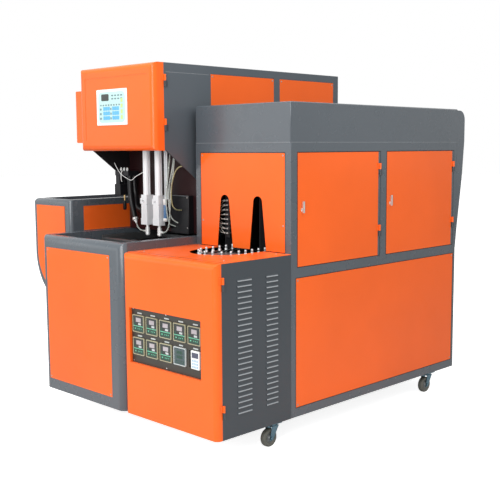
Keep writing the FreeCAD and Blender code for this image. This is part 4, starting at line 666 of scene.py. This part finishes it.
# %% Instrument places and colours
GAUGE_X = [334, 448, 562, 676, 790]
GAUGE_Z = [646, 521]
GAUGE_WIDE = 96
FACE_Y = -1108.0
CASE_FRONT, CASE_BACK = -1100, -1040
moulded("khaki_bezel", (0.36, 0.34, 0.22), 0.35)
moulded("gauge_face", (0.022, 0.028, 0.026), 0.35)
moulded("display_grey", (0.38, 0.35, 0.37), 0.3)
moulded("display_pale", (0.46, 0.50, 0.50), 0.3)
moulded("stripe_mint", (0.14, 0.52, 0.33), 0.3)
moulded("field_green", (0.010, 0.050, 0.032), 0.3)
moulded("teal_display", (0.045, 0.075, 0.08), 0.25)
moulded("key_blue", (0.36, 0.50, 0.62), 0.35)
moulded("counter_glass", (0.06, 0.07, 0.11), 0.3)
painted("tray_dark", (0.028, 0.027, 0.020), gloss=0.45, dust=0.0)


def add_bars(bm, x, z, places, front, back=2):
    """Small plates at (left, right, low, high) from an instrument's middle, by their depths."""
    for left, right, low, high in places:
        add_box(bm, (x + left, FACE_Y + front, z + low), (x + right, FACE_Y + back, z + high))


def add_case(bm, x, z, half):
    """The case behind an instrument's front."""
    add_box(bm, (x - half, CASE_FRONT, z - 45), (x + half, CASE_BACK, z + 45))


def add_bezel(bm, x, z, opening):
    """A square bezel with its case."""
    outer = rounded((x, z), GAUGE_WIDE, GAUGE_WIDE, 5)
    add_ring(bm, outer, rounded((x, z), opening, opening, 3), FACE_Y, FACE_Y + 8)
    add_case(bm, x, z, 45)


def add_face(bm, x, z, wide):
    """The dark square face inside a bezel."""
    add_plate(bm, rounded((x, z), wide, wide, 3), FACE_Y + 1.5, FACE_Y + 7.5)


def door_piece(bm, name, material, bevel):
    """A piece that swings with the control door."""
    return finish_piece(bm, name, material, "control_door", bevel)


# %% Bezels, cases, faces and keys
CONTROLLERS = [(x, GAUGE_Z[0]) for x in GAUGE_X] + [(x, GAUGE_Z[1]) for x in GAUGE_X[:3]]
CONTROLLER_BARS = {
    "controller_upper_displays": ("display_grey", 0.8, [(-20, 22, 9, 32)]),
    "controller_lower_displays": ("display_pale", 0.8, [(0, 24, -7, 4)]),
    "controller_stripes": ("stripe_mint", 0.8, [(-41, 41, -15.5, -11.5)]),
    "controller_fields": ("field_green", 0.8, [(-41, 41, -41, -17), (-41, -24, -11, 4)]),
    "controller_keys": ("stripe_mint", 0.2, [
        (-29, -21, -31, -24), (-4, 1, -30, -25), (9, 14, -30, -25), (23, 28, -30, -25)]),
}


def make_controllers():
    bezels, faces = bmesh.new(), bmesh.new()
    for x, z in CONTROLLERS:
        add_bezel(bezels, x, z, 87)
        add_face(faces, x, z, 88)
    piece = door_piece(bezels, "controller_bezels", "khaki_bezel", 0.5)
    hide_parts("panel_instruments")
    door_piece(faces, "controller_faces", "gauge_face", 0.5)
    for name, (material, front, bars) in CONTROLLER_BARS.items():
        bm = bmesh.new()
        for x, z in CONTROLLERS:
            add_bars(bm, x, z, bars, front)
        door_piece(bm, name, material, 0.5)


make_controllers()
print("controllers:", len(CONTROLLERS), "at x", GAUGE_X)

# %% Timer and counter
def make_timer(x, z):
    bm = bmesh.new()
    add_bezel(bm, x, z, 86)
    door_piece(bm, "timer_case", "display_pale", 0.5)
    bm = bmesh.new()
    add_face(bm, x, z, 87)
    door_piece(bm, "timer_face", "teal_display", 0.3)
    bm = bmesh.new()
    add_bars(bm, x, z, [(-24, 20, 12, 28), (-24, 20, -12, 4), (-34, 34, -36, -33)], 0.8)
    add_bars(bm, x, z, [(18 * step - 30, 18 * step - 22, -28, -22) for step in range(4)], 0.4)
    door_piece(bm, "timer_digits", "field_green", 0.3)


def make_counter(x, z):
    bm = bmesh.new()
    add_plate(bm, rounded((x, z), 64, GAUGE_WIDE, 4), FACE_Y, FACE_Y + 8)
    add_case(bm, x, z, 30)
    door_piece(bm, "counter_case", "pale_plastic", 0.8)
    bm = bmesh.new()
    add_bars(bm, x, z, [(-25, 25, 10, 38)], -0.6, 1)
    door_piece(bm, "counter_display", "counter_glass", 0.3)
    bm = bmesh.new()
    add_bars(bm, x, z, [(column * 17 - 24, column * 17 - 11, row * 16 - 42, row * 16 - 31)
                        for column in range(3) for row in range(3)], -0.9, 1)
    door_piece(bm, "counter_keys", "key_blue", 0.4)


make_timer(GAUGE_X[3], GAUGE_Z[1])
make_counter(GAUGE_X[4] + 8, GAUGE_Z[1])
dress(nodes["instrument_panel"], "tray_dark")
print("timer and counter made")

# %% [markdown]
# The door's window is folded inwards all round, and a blank label plate sits over each instrument.
# Six small screws hold the instrument tray behind the window.

# %% Window fold, label plates and tray screws
WINDOW = (269, 855, 424, 733)
WINDOW_FRONT = -1117.5
TRAY_FACE = -1100.0
TRAY_SCREW = [(0, -2), (2.5, -2), (3.5, -1), (3.5, 0)]


def make_window():
    left, right, low, high = WINDOW
    middle = ((left + right) / 2, (low + high) / 2)
    bm = bmesh.new()
    outer = rounded(middle, right - left, high - low, 3)
    inner = rounded(middle, right - left - 4, high - low - 4, 2)
    add_ring(bm, outer, inner, WINDOW_FRONT, TRAY_FACE - 0.2)
    finish_piece(bm, "window_fold", "orange_paint", "control_door", 0.4)
    bm = bmesh.new()
    for row, z in enumerate(GAUGE_Z):
        for column, x in enumerate(GAUGE_X):
            wide = 30 if (row, column) == (1, 3) else 38
            add_plate(bm, rounded((x + 6, z + 58), wide, 7, 1.5), TRAY_FACE - 1.2, TRAY_FACE + 0.3)
    finish_piece(bm, "label_plates", "display_pale", "control_door", 0)
    screws = [(TRAY_SCREW, (x, TRAY_FACE, z)) for x in (left + 14, middle[0], right - 14)
              for z in (low + 12, high - 10)]
    turned_piece("tray_screws", "bright_steel", "control_door", screws, "y", 12)


make_window()
print("window:", WINDOW)

# %% [markdown]
# ## Membrane keypad
# The head door carries a membrane keypad: a white rounded sheet with a cyan field, a dark display,
# blue key blocks and small grey ones. Printed words are left off, and plain bars stand where the
# keys are.

# %% Keypad
PAD_LEFT, PAD_RIGHT, PAD_LOW, PAD_HIGH = -359, -61, 1732, 1943
PAD_FACE = -850.0
moulded("field_cyan", (0.44, 0.64, 0.62), 0.35)
moulded("key_deep_blue", (0.10, 0.40, 0.66), 0.35)
moulded("key_grey", (0.12, 0.19, 0.21), 0.4)
moulded("key_lime", (0.50, 0.66, 0.20), 0.4)


def pad_bars(name, material, places, proud):
    """Plates on the keypad at (left, right, low, high) as shares of its width and height."""
    wide, tall = PAD_RIGHT - PAD_LEFT, PAD_HIGH - PAD_LOW
    bm = bmesh.new()
    for left, right, low, high in places:
        middle = (PAD_LEFT + wide * (left + right) / 2, PAD_LOW + tall * (low + high) / 2)
        size = (wide * (right - left), tall * (high - low))
        outline = rounded(middle, *size, min(size) * 0.18, 3)
        add_plate(bm, outline, PAD_FACE - proud, PAD_FACE + 0.5)
    return finish_piece(bm, name, material, "head_door", 0)


def pad_grid(left, low, size, pitch, columns, rows):
    """A grid of keys from its left and low corner, one key's size and the pitch between keys."""
    return [(left + pitch[0] * column, left + size[0] + pitch[0] * column,
             low + pitch[1] * row, low + size[1] + pitch[1] * row)
            for column in range(columns) for row in range(rows)]


def make_keypad():
    pad_bars("keypad_field", "field_cyan", [(0.055, 0.945, 0.07, 0.93)], 0.4)
    pad_bars("keypad_display", "gauge_face", [(0.16, 0.41, 0.68, 0.87)], 0.9)
    greys = pad_grid(0.50, 0.80, (0.06, 0.04), (0.098, -0.09), 4, 2)
    greys += pad_grid(0.12, 0.54, (0.045, 0.04), (0.087, 0), 9, 1)
    greys += pad_grid(0.11, 0.16, (0.05, 0.06), (0, 0.13), 1, 3)
    greys += pad_grid(0.458, 0.16, (0.037, 0.06), (0, 0.13), 1, 3)
    pad_bars("keypad_marks", "key_grey", greys, 0.8)
    blues = [key for left in (0.22, 0.52)
             for key in pad_grid(left, 0.15, (0.072, 0.105), (0.076, 0.13), 3, 3)]
    pad_bars("keypad_keys", "key_deep_blue", blues, 1.0)
    limes = pad_grid(0.80, 0.16, (0.06, 0.11), (0, 0.155), 1, 4)
    pad_bars("keypad_side_keys", "key_lime", limes, 1.0)


make_keypad()
print("keypad at z", PAD_LOW, "to", PAD_HIGH)

# %% [markdown]
# ## Blowing heads
# Two air cylinders hang under the head. Their barrels are drawn aluminium with grooves for
# sensors, so they look fluted rather than round. Each is a ring of points whose radius steps in at
# every groove, drawn out along its height, with square end caps and the bolts that hold them.

# %% Stretch cylinders
CAVITY_X = (-238.75, -122.75)
STATION_Y = -573
BARREL = (1285, 1688)
BARREL_ROUND = 23.5
FLANGE = (1251, 1285)
GROOVES, GROOVE_DEEP = 8, 2.2
STEPS_PER_GROOVE = 12
CORNER_CUT = 0.96


def add_barrel(bm, x):
    """An upright drawn tube whose outline is nearly square, with grooves down its sides."""
    outline = []
    steps = GROOVES * STEPS_PER_GROOVE
    for step in range(steps):
        turn = 2 * math.pi * step / steps
        flat = BARREL_ROUND / max(abs(math.cos(turn)), abs(math.sin(turn)))
        reach = min(flat * CORNER_CUT, BARREL_ROUND)
        if step % STEPS_PER_GROOVE < 2:
            reach -= GROOVE_DEEP
        outline.append((x + reach * math.cos(turn), STATION_Y + reach * math.sin(turn)))
    low, high = ([bm.verts.new((*point, z)) for point in outline] for z in BARREL)
    join_rings(bm, low, high)
    bm.faces.new(low[::-1])
    bm.faces.new(high)


def add_square(bm, x, half, low, high):
    """An upright square block round a cavity's axis."""
    add_box(bm, (x - half, STATION_Y - half, low), (x + half, STATION_Y + half, high))


def make_stretch_cylinders():
    bm = bmesh.new()
    for x in CAVITY_X:
        add_barrel(bm, x)
        add_square(bm, x, 31.5, *FLANGE)
        add_square(bm, x, 27, FLANGE[1], FLANGE[1] + 22)
    finish_piece(bm, "stretch_cylinder_barrels", "anodised_aluminium", "frame", 1.2,
                 ("stretch_cylinders",))
    bm = bmesh.new()
    for x in CAVITY_X:
        for sx in (-1, 1):
            for sy in (-1, 1):
                at = (x + sx * 24, STATION_Y + sy * 24, FLANGE[0])
                add_turned(bm, [(0, -5), (4.5, -5), (4.5, 0), (0, 0)], at, "z", 12)
        plug = [(0, -8), (5, -8), (7, -6), (7, 0), (0, 0)]
        add_turned(bm, plug, (x, STATION_Y - 31.5, sum(FLANGE) / 2), "y", 6)
    finish_piece(bm, "cylinder_bolts", "bright_steel", "frame", 0)


make_stretch_cylinders()
print("stretch cylinders at x", CAVITY_X)

# %% [markdown]
# ## Blow nozzles
# A nozzle seals on a preform's neck. It is turned from steel with a stepped collar and a tip, and
# an elbow on its side takes the air hose. Each rides on its own body, because it drops onto the
# mould.

# %% Nozzles
NOZZLE = [(5.4, 1055), (10, 1055), (14.5, 1061), (14.5, 1074), (12.8, 1075), (12.8, 1078),
          (14.5, 1079), (14.5, 1092), (13.6, 1093), (13.6, 1096), (14.5, 1097), (14.5, 1102),
          (13.5, 1103), (10, 1103), (10, 1223), (5.4, 1223)]
ELBOW = [(0, 12), (6, 12), (6, 22), (8, 22), (8, 28), (6, 28), (6, 30), (0, 30)]
ELBOW_Z = 1079


def make_nozzle(number, x, side):
    turned_piece(f"nozzle_body_{number}", "nozzle_steel", f"nozzle_{number}",
                 [(NOZZLE, (x, STATION_Y, 0))], "z", 32, replaces=(f"blow_nozzle_{number}",))
    elbow = [(radius, side * reach) for radius, reach in ELBOW]
    turned_piece(f"nozzle_elbow_{number}", "nozzle_steel", f"nozzle_{number}",
                 [(elbow, (x, STATION_Y, ELBOW_Z))], "x", 6, 0.4)


for number, (x, side) in enumerate(zip(CAVITY_X, (-1, 1)), 1):
    make_nozzle(number, x, side)
print("nozzles:", len(CAVITY_X))

# %% [markdown]
# ## Air hoses
# A hose is a smooth curve with a round section. The two that feed the nozzles end on pieces that
# drop by 64 mm; they are turned into meshes.

# %% Hoses
HOSE_START = Vector((-180.75, -573, 1077))
BLACK_ROUTES = [
    [(-236, 3, 345), (-236, 3, 255), (-220, 2, 160), (-180, 0, 66)],
    [(-236, 38, 345), (-236, 38, 265), (-206, 34, 185), (-150, 0, 130), (-85.5, 0, 130)],
]
CLEAR_ROUTES = [
    [(-180, 0, 66), (-162, -0.9, 23.7), (-128, 0, 2), (-88.5, 0, 2)],
    [(219, -10, 511), (219, -10, 410), (180, -8, 270), (160, 0, 140), (150, 0, 44), (120, 0, 2),
     (88.5, 0, 2)],
    [(351, -54, 412), (300, -54, 412), (240, -46, 330), (206, -30, 230), (206, -12, 142),
     (206, 53, 142)],
]
BENDS_FROM = {1: 0, 2: -5}


def from_start(route):
    """A route's points, from distances to the blowing heads' middle."""
    return [HOSE_START + Vector(point) for point in route]


def tube(name, routes, radius, material, round_steps=5, line_steps=10, caps=True):
    """A round tube along a smooth line through each route, in millimetres."""
    data = bpy.data.curves.new(name, "CURVE")
    data.dimensions = "3D"
    data.bevel_depth = radius * MM
    data.bevel_resolution = round_steps
    data.use_fill_caps = caps
    for route in routes:
        line = data.splines.new("NURBS")
        line.points.add(len(route) - 1)
        for place, point in zip(line.points, route):
            place.co = (*(Vector(point) * MM), 1)
        line.order_u = 3
        line.use_endpoint_u = True
        line.resolution_u = line_steps
    data.materials.append(finishes[material])
    return new_object(name, data)


def as_mesh(item):
    """The same hose as a mesh."""
    name = item.name
    mesh = bpy.data.meshes.new_from_object(item)
    bpy.data.objects.remove(item)
    mesh.name = name
    for polygon in mesh.polygons:
        polygon.use_smooth = True
    return new_object(name, mesh)


def make_hoses():
    for number, route in enumerate(BLACK_ROUTES, 1):
        item = tube(f"black_hose_{number}", [from_start(route)], 17, "black_rubber")
        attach(item, "frame")
        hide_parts("black_hoses")
    for number, route in enumerate(map(from_start, CLEAR_ROUTES), 1):
        if number in BENDS_FROM:
            item = as_mesh(tube(f"clear_hose_{number}", [route], 4.5, "clear_tube"))
            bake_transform(item)
        else:
            item = tube(f"clear_hose_{number}", [route], 3.6, "yellow_tube")
            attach(item, "frame")
        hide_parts("clear_hoses")


make_hoses()
print("hoses:", len(BLACK_ROUTES) + len(CLEAR_ROUTES))

# %% [markdown]
# ## Fittings round the blowing heads
# Small fittings join the hoses: a steel reducer, a blue coupling under a return pipe, plugs and a
# silencer on the valve island, and thin tubes that leave the head through its floor. Each is
# turned or drawn as a curve and ends on the piece that it serves.

# %% Small tubes and the sensor lead
SMALL_TUBES = {
    "valve_tube_1": ("clear_tube", 4, [
        (-5, -573, 1588), (-20, -575, 1500), (-24, -578, 1446), (-38, -582, 1353),
        (-46, -582, 1259), (-42, -575, 1166), (-36, -560, 1125), (-30, -521, 1118)]),
    "valve_tube_2": ("clear_tube", 4, [
        (30, -573, 1588), (20, -573, 1520), (2, -575, 1446), (-18, -577, 1381),
        (-30, -575, 1288), (-28, -570, 1195), (-20, -545, 1150), (-8, -521, 1140)]),
    "coupling_tail": ("black_rubber", 5, [
        (-64, -573, 1150), (-64, -573, 1122), (-60, -545, 1112), (-58, -521, 1112)]),
    "sensor_lead": ("pale_plastic", 2.4, [
        (-538, -600, 1507), (-500, -608, 1470), (-451, -612, 1429), (-380, -610, 1401),
        (-349, -606, 1392), (-317, -598, 1422), (-264, -580, 1446)]),
    "island_lead": ("pale_plastic", 3, [
        (-446, -598, 1453), (-446, -612, 1452), (-450, -612, 1425), (-454, -610, 1396),
        (-458, -602, 1385)]),
}


def make_small_tubes():
    for name, (material, radius, route) in SMALL_TUBES.items():
        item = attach(tube(name, [route], radius, material), "frame")


make_small_tubes()
print("small tubes:", len(SMALL_TUBES))

# %% Turned fittings
PLUG = [(0, 0), (5, 0), (5, 7), (7.5, 7), (7.5, 15), (4, 16), (4, 22), (0, 22)]
SLEEVE = [(0, 1168), (10, 1168), (11, 1172), (11, 1246), (10, 1250), (0, 1250)]
SILENCER = [(0, 1203), (9, 1203), (12, 1208), (12, 1252), (7, 1255), (7, 1262), (0, 1262)]
STEM = [(0, 1262), (5, 1262), (5, 1298), (0, 1298)]
REDUCER = [(0, -20), (7, -20), (7, -8), (13, -8), (13, 2), (18.5, 2), (18.5, 16), (0, 16)]
REDUCER_AT = (-361, -573, 1143)
REDUCER_LEAN = Matrix.Rotation(math.radians(-23), 3, "Y")


def nut(low, high):
    """A nut with chamfered ends."""
    return [(0, low), (12, low), (13, low + 2), (13, high - 2), (12, high), (0, high)]


FITTINGS = {
    "island_plugs": ("pale_plastic", "pale_plastic", 12,
                     [(PLUG, (x, -585, 1451)) for x in (-484, -452, -420)]),
    "coupling_sleeve": ("coupling_blue", "black_plastic", 20, [(SLEEVE, (-64, -573, 0))]),
    "coupling_nuts": ("nozzle_steel", "chrome", 6,
                      [(nut(*ends), (-64, -573, 0)) for ends in ((1148, 1168), (1250, 1286))]),
    "silencer": ("black_plastic", "black_plastic", 16, [(SILENCER, (-470, -573, 0))]),
    "silencer_stem": ("brass", "chrome", 6, [(STEM, (-470, -573, 0))]),
}


def make_fittings():
    for name, (material, slot, sides, turned) in FITTINGS.items():
        turned_piece(name, material, "frame", turned, "z", sides, 0.4)
    bm = bmesh.new()
    add_turned(bm, REDUCER, (0, 0, 0), "z", 8)
    bmesh.ops.rotate(bm, verts=bm.verts, cent=(0, 0, 0), matrix=REDUCER_LEAN)
    bmesh.ops.translate(bm, verts=bm.verts, vec=REDUCER_AT)
    finish_piece(bm, "hose_reducer", "nozzle_steel", "frame", 0.5)


make_fittings()
print("fittings:", len(FITTINGS) + 1)

# %% Valve box edge, its screws and the trough's lining
# Painted shade: the trough's lining is orange sheet in shadow, so it is painted a dark red.
painted("lining_orange_in_shade", (0.20, 0.012, 0.008), gloss=0.45, dust=0.0)
# The valve box edge is a pale strip, a painted highlight along the box's top fold.
BOX_EDGE = ((-77.5, -521.5, 1304.5), (90.5, -518, 1307.5))
BOX_SCREW = [(0, -2.5), (3, -2.2), (5, -1), (5, 0.5), (0, 0.5)]
BOX_SCREWS = [(BOX_SCREW, (x, -520, z)) for x, z in ((78, 1296), (78, 1112), (-66, 1296))]
LINING = ((-533.5, -1040, 955), (-531, -498, 1046))
box_piece("valve_box_edge", "seam_highlight_grey", [BOX_EDGE], 0.3)
turned_piece("valve_box_screws", "screw_steel", "frame", BOX_SCREWS, "y", 12)
box_piece("trough_lining", "lining_orange_in_shade", [LINING], 0.5)
print("valve box edge, screws and lining made")

# %% [markdown]
# ## Conveyor mandrels
# Each chain pin carries a turned post that holds a preform by its neck. The 76 posts stand at the
# chain's pins, one pitch apart on the straights and round the two sprockets.

# %% Mandrels
CHAIN_MID, WHEEL_FRONT, PITCH, STRAIGHT, TEETH = 591, -715, 50.8, 30, 16
PITCH_ROUND = PITCH / 2 / math.sin(math.pi / TEETH)
CHAIN_TOP = 1014
POST = [(8.5, 0), (8.5, 8.5), (7.6, 10), (6.2, 10.5), (6.2, 17), (6.5, 17.5), (6.5, 26), (5, 29),
        (0, 29)]


def chain_places():
    wheel_back = WHEEL_FRONT + STRAIGHT * PITCH
    places = []
    runs = ((wheel_back, 0, 1, WHEEL_FRONT), (WHEEL_FRONT, 180, -1, wheel_back))
    for centre, start, run, first in runs:
        side = CHAIN_MID + run * PITCH_ROUND
        places += [(side, first + run * PITCH * step) for step in range(STRAIGHT)]
        for step in range(TEETH // 2):
            turn = math.radians(start + 360 / TEETH * step)
            places.append((CHAIN_MID + PITCH_ROUND * math.cos(turn),
                           centre + PITCH_ROUND * math.sin(turn)))
    return places


posts = [(POST, (x, y, CHAIN_TOP)) for x, y in chain_places()]
turned_piece("mandrel_posts", "mandrel_steel", "frame", posts, "z", 14,
             replaces=("preform_mandrels",))
print("mandrels:", len(posts))

# %% [markdown]
# ## Lamp wiring
# Behind the left slot the lamps end in ceramic blocks, two to a lamp. A small bright nut screws a
# pale glass-braid wire to each, and the wires fan out to the left as thin curves.

# %% Wires and their nuts
TERMINAL_X = (410.8, 434.8)
TIER_Z = [1105 + 27 * tier for tier in range(8)]
MIDDLE_Z = sum(TIER_Z) / len(TIER_Z)
TERMINALS = [(x, z) for z in TIER_Z for x in TERMINAL_X]
TERMINAL_NUT = [(0, -7), (3.5, -6), (4.5, -4), (4.5, 0), (0, 0)]
TERMINAL_Y = -524


def make_wires():
    runs = []
    for x, z in TERMINALS:
        rise = MIDDLE_Z - z
        runs.append([(x, TERMINAL_Y, z), (x - 4, -536, z), (x - 24, -540, z + 0.10 * rise),
                     (x - 52, -534, z + 0.45 * rise), (336, -512, z + 0.75 * rise)])
    item = tube("lamp_wires", runs, 1.1, "ceramic", 2, 12, False)
    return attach(item, "frame")


nuts = [(TERMINAL_NUT, (x, TERMINAL_Y, z)) for x, z in TERMINALS]
turned_piece("terminal_nuts", "nozzle_steel", "frame", nuts, "y", 8)
wires = make_wires()
print("wires:", len(wires.data.splines))

# %% [markdown]
# ## Panel screws
# Cross-headed screws hold the sheet panels. The CAD has plain hexagons at their places; here each
# is a shallow dome with a cross cut in it.

# %% Screws
BED_FRONT, OVEN_FRONT, OVEN_SIDE, HEAD_SIDE, TABLE_TOP = -1128, -570, 969, 180.5, 1030
TABLE_SCREWS = ((288, -1020), (899, -995), (288, -610), (899, -610))


def screw_places():
    """(x, y, z, the axis that it stands out along)."""
    found = [(x, BED_FRONT, z, "y") for x in (-512, 95.5) for z in (208, 990)]
    found += [(x, OVEN_FRONT, z, "y") for x in (276, 911) for z in (1176.5, 1551)]
    found += [(OVEN_SIDE, y, z, "x") for y in (-517, 1000) for z in (197, 881)]
    for near, far in ((-409, 137), (193, 729)):
        found += [(HEAD_SIDE, y, z, "x") for y in (near + 14, far - 14) for z in (1644, 2015)]
    return found + [(x, y, TABLE_TOP, "z") for x, y in TABLE_SCREWS]


STANDS = {
    "x": lambda u, v, out: (out, u, v),
    "y": lambda u, v, out: (u, -out, v),
    "z": lambda u, v, out: (u, v, out),
}
SCREW_SIDES = 12
DOME = ((5, 0), (4.9, 0.8), (4.1, 1.5), (2.6, 1.95))
CROSS_DEPTH = 0.9
CROSS = [2.2 if side % 3 == 0 else 0.9 for side in range(SCREW_SIDES)]


def screw_ring(bm, place, reaches, out):
    """A ring of points round a screw, with a reach for each, at one height above the sheet."""
    x, y, z, way = place
    points = []
    for side, reach in enumerate(reaches):
        turn = 2 * math.pi * side / SCREW_SIDES
        offset = STANDS[way](reach * math.cos(turn), reach * math.sin(turn), out)
        points.append(bm.verts.new(Vector((x, y, z)) + Vector(offset)))
    return points


def make_screws():
    bm = bmesh.new()
    for place in screw_places():
        rings = [screw_ring(bm, place, [radius] * SCREW_SIDES, out) for radius, out in DOME]
        rings.append(screw_ring(bm, place, CROSS, CROSS_DEPTH))
        for low, high in zip(rings, rings[1:]):
            join_rings(bm, low, high)
        bm.faces.new(rings[-1])
        bm.faces.new(rings[0][::-1])
    finish_piece(bm, "screw_heads", "screw_steel", "frame", 0, ("panel_screws",))


make_screws()
print("screws:", len(screw_places()))

# %% [markdown]
# ## Seams, gaps and louvre lips
# Sheet metal shows where it is joined. A dark strip runs round each panel and oven door as painted
# shade in the gap, a pale folded seam runs along the hood and the head as a painted highlight, and
# each louvre has a pale lip, a painted highlight where it catches the light. They are narrow strips
# that stand a fraction of a millimetre off the sheet.

# %% Gaps round the panels
# The dark strips are painted shade, for the shadow inside each gap.
GAPS = [
    ("x", OVEN_SIDE, (-518, 956), (210, 1566), 3.5),
    ("x", OVEN_SIDE, (276, 956), (1004, 1566), 3.5),
    ("x", OVEN_SIDE, (-530.7, 183.3), (1013.7, 894.7), 3),
    ("y", OVEN_FRONT, (262.3, 1033.5), (924.7, 1564.7), 3),
]
TABLE_GAPS = [
    ((224, -1058, 1029.6), (963, -1055, 1030.3)),
    ((238, -1055, 1029.6), (241, -585, 1030.3)),
]


def frame_strips(bm, axis, face, low, high, wide, out=0.3, into=0.4):
    """Four strips just outside a panel from its low to its high corner, on a face across x or y."""
    (a0, z0), (a1, z1) = low, high
    spans = [(a0 - wide, a1 + wide, z1, z1 + wide), (a0 - wide, a1 + wide, z0 - wide, z0),
             (a0 - wide, a0, z0, z1), (a1, a1 + wide, z0, z1)]
    for left, right, under, over in spans:
        if axis == "x":
            add_box(bm, (face - into, left, under), (face + out, right, over))
        else:
            add_box(bm, (left, face - out, under), (right, face + into, over))


def make_gaps():
    bm = bmesh.new()
    for gap in GAPS:
        frame_strips(bm, *gap)
    for corners in TABLE_GAPS:
        add_box(bm, *corners)
    finish_piece(bm, "panel_gaps", "gap_shade_black", "frame", 0)


make_gaps()
print("gaps:", len(GAPS), "panels and the table plate")

# %% Folded seams
# The pale seam strips are painted highlights along the folds of the hood and the head.
SEAMS = [
    ((968.8, -568, 1619.5), (969.8, 1036, 1622.5)),
    ((222, -571, 1619.5), (965, -569.8, 1622.5)),
    ((180.3, -757, 2022.5), (181.3, -425, 2025.5)),
]
box_piece("folded_seams", "seam_highlight_grey", SEAMS)
print("seams:", len(SEAMS), "on the hood and head")

# %% Louvre lips
# Painted highlight: each louvre's lip is a pale grey strip where its upper slope catches the light
# from above.
painted("lip_highlight_grey", (0.28, 0.30, 0.315), gloss=0.25, dust=0.0)
LOUVRE_ROWS = [245 + 28.4 * row for row in range(25)]
LOUVRE_COLUMNS = ((-975, -869), (-765, -673))
LOUVRE_TALL, LOUVRE_OUT = 12, 5


def make_louvre_lips():
    bm = bmesh.new()
    for z in LOUVRE_ROWS:
        for near, far in LOUVRE_COLUMNS:
            lines = []
            for rise, lift in ((0.4, 0.1), (0.4, 0.5), (6, 0.5), (6, 0.1)):
                x = OVEN_SIDE + LOUVRE_OUT * (LOUVRE_TALL - rise) / LOUVRE_TALL + lift
                lines.append([bm.verts.new((x, y, z + rise)) for y in (near + 3, far - 3)])
            for first, second in zip(lines, lines[1:] + lines[:1]):
                bm.faces.new((first[0], first[1], second[1], second[0]))
            for end in (0, 1):
                bm.faces.new([line[end] for line in lines])
    finish_piece(bm, "louvre_lips", "lip_highlight_grey", "frame", 0)


make_louvre_lips()
print("louvre lips:", len(LOUVRE_COLUMNS) * len(LOUVRE_ROWS))

# %% [markdown]
# ## Caster wheels
# The wheels are hard rubber on a grey hub. A turned profile gives the tread its round shoulders
# and the hub its dish, and a nut on each side of the fork holds the axle.

# %% Wheels
CASTERS = [(927, -675), (927, 798), (-537, -675), (-537, 722)]
TRAIL, WHEEL_ROUND = 30, 50
TYRE_SIDE = [(27, -13), (34, -16.5), (42, -16.8), (46.5, -15), (49, -11), (49.9, -6)]
HUB_SIDE = [(5.1, -17), (9, -17), (10, -15), (13, -9), (23, -8), (25, -13), (27, -14)]
AXLE_NUT = [(0, 24), (8, 24), (9, 25), (9, 29), (7, 31), (0, 31)]
moulded("hub_grey", (0.16, 0.17, 0.17), 0.5)


def mirrored(side, middle=()):
    """A closed profile from one side's points, the middle ones and the same side mirrored."""
    return [*side, *middle, *((radius, -reach) for radius, reach in side[::-1]), side[0]]


def make_wheel(number, x, y):
    axle = (x, y - TRAIL, WHEEL_ROUND)
    wheel, fork = f"caster_wheel_{number}", f"caster_fork_{number}"
    tyre = [(mirrored(TYRE_SIDE, [(WHEEL_ROUND, 0)]), axle)]
    hub = [(mirrored(HUB_SIDE), axle)]
    nuts = [([(radius, side * reach) for radius, reach in AXLE_NUT], axle) for side in (-1, 1)]
    turned_piece(f"wheel_tyre_{number}", "wheel_rubber", wheel, tyre, "x", 48,
                 replaces=(wheel,))
    turned_piece(f"wheel_hub_{number}", "hub_grey", wheel, hub, "x", 32)
    turned_piece(f"axle_nuts_{number}", "zinc_plate", fork, nuts, "x", 6, 0.3)


for number, (x, y) in enumerate(CASTERS, 1):
    make_wheel(number, x, y)
print("wheels:", len(CASTERS))
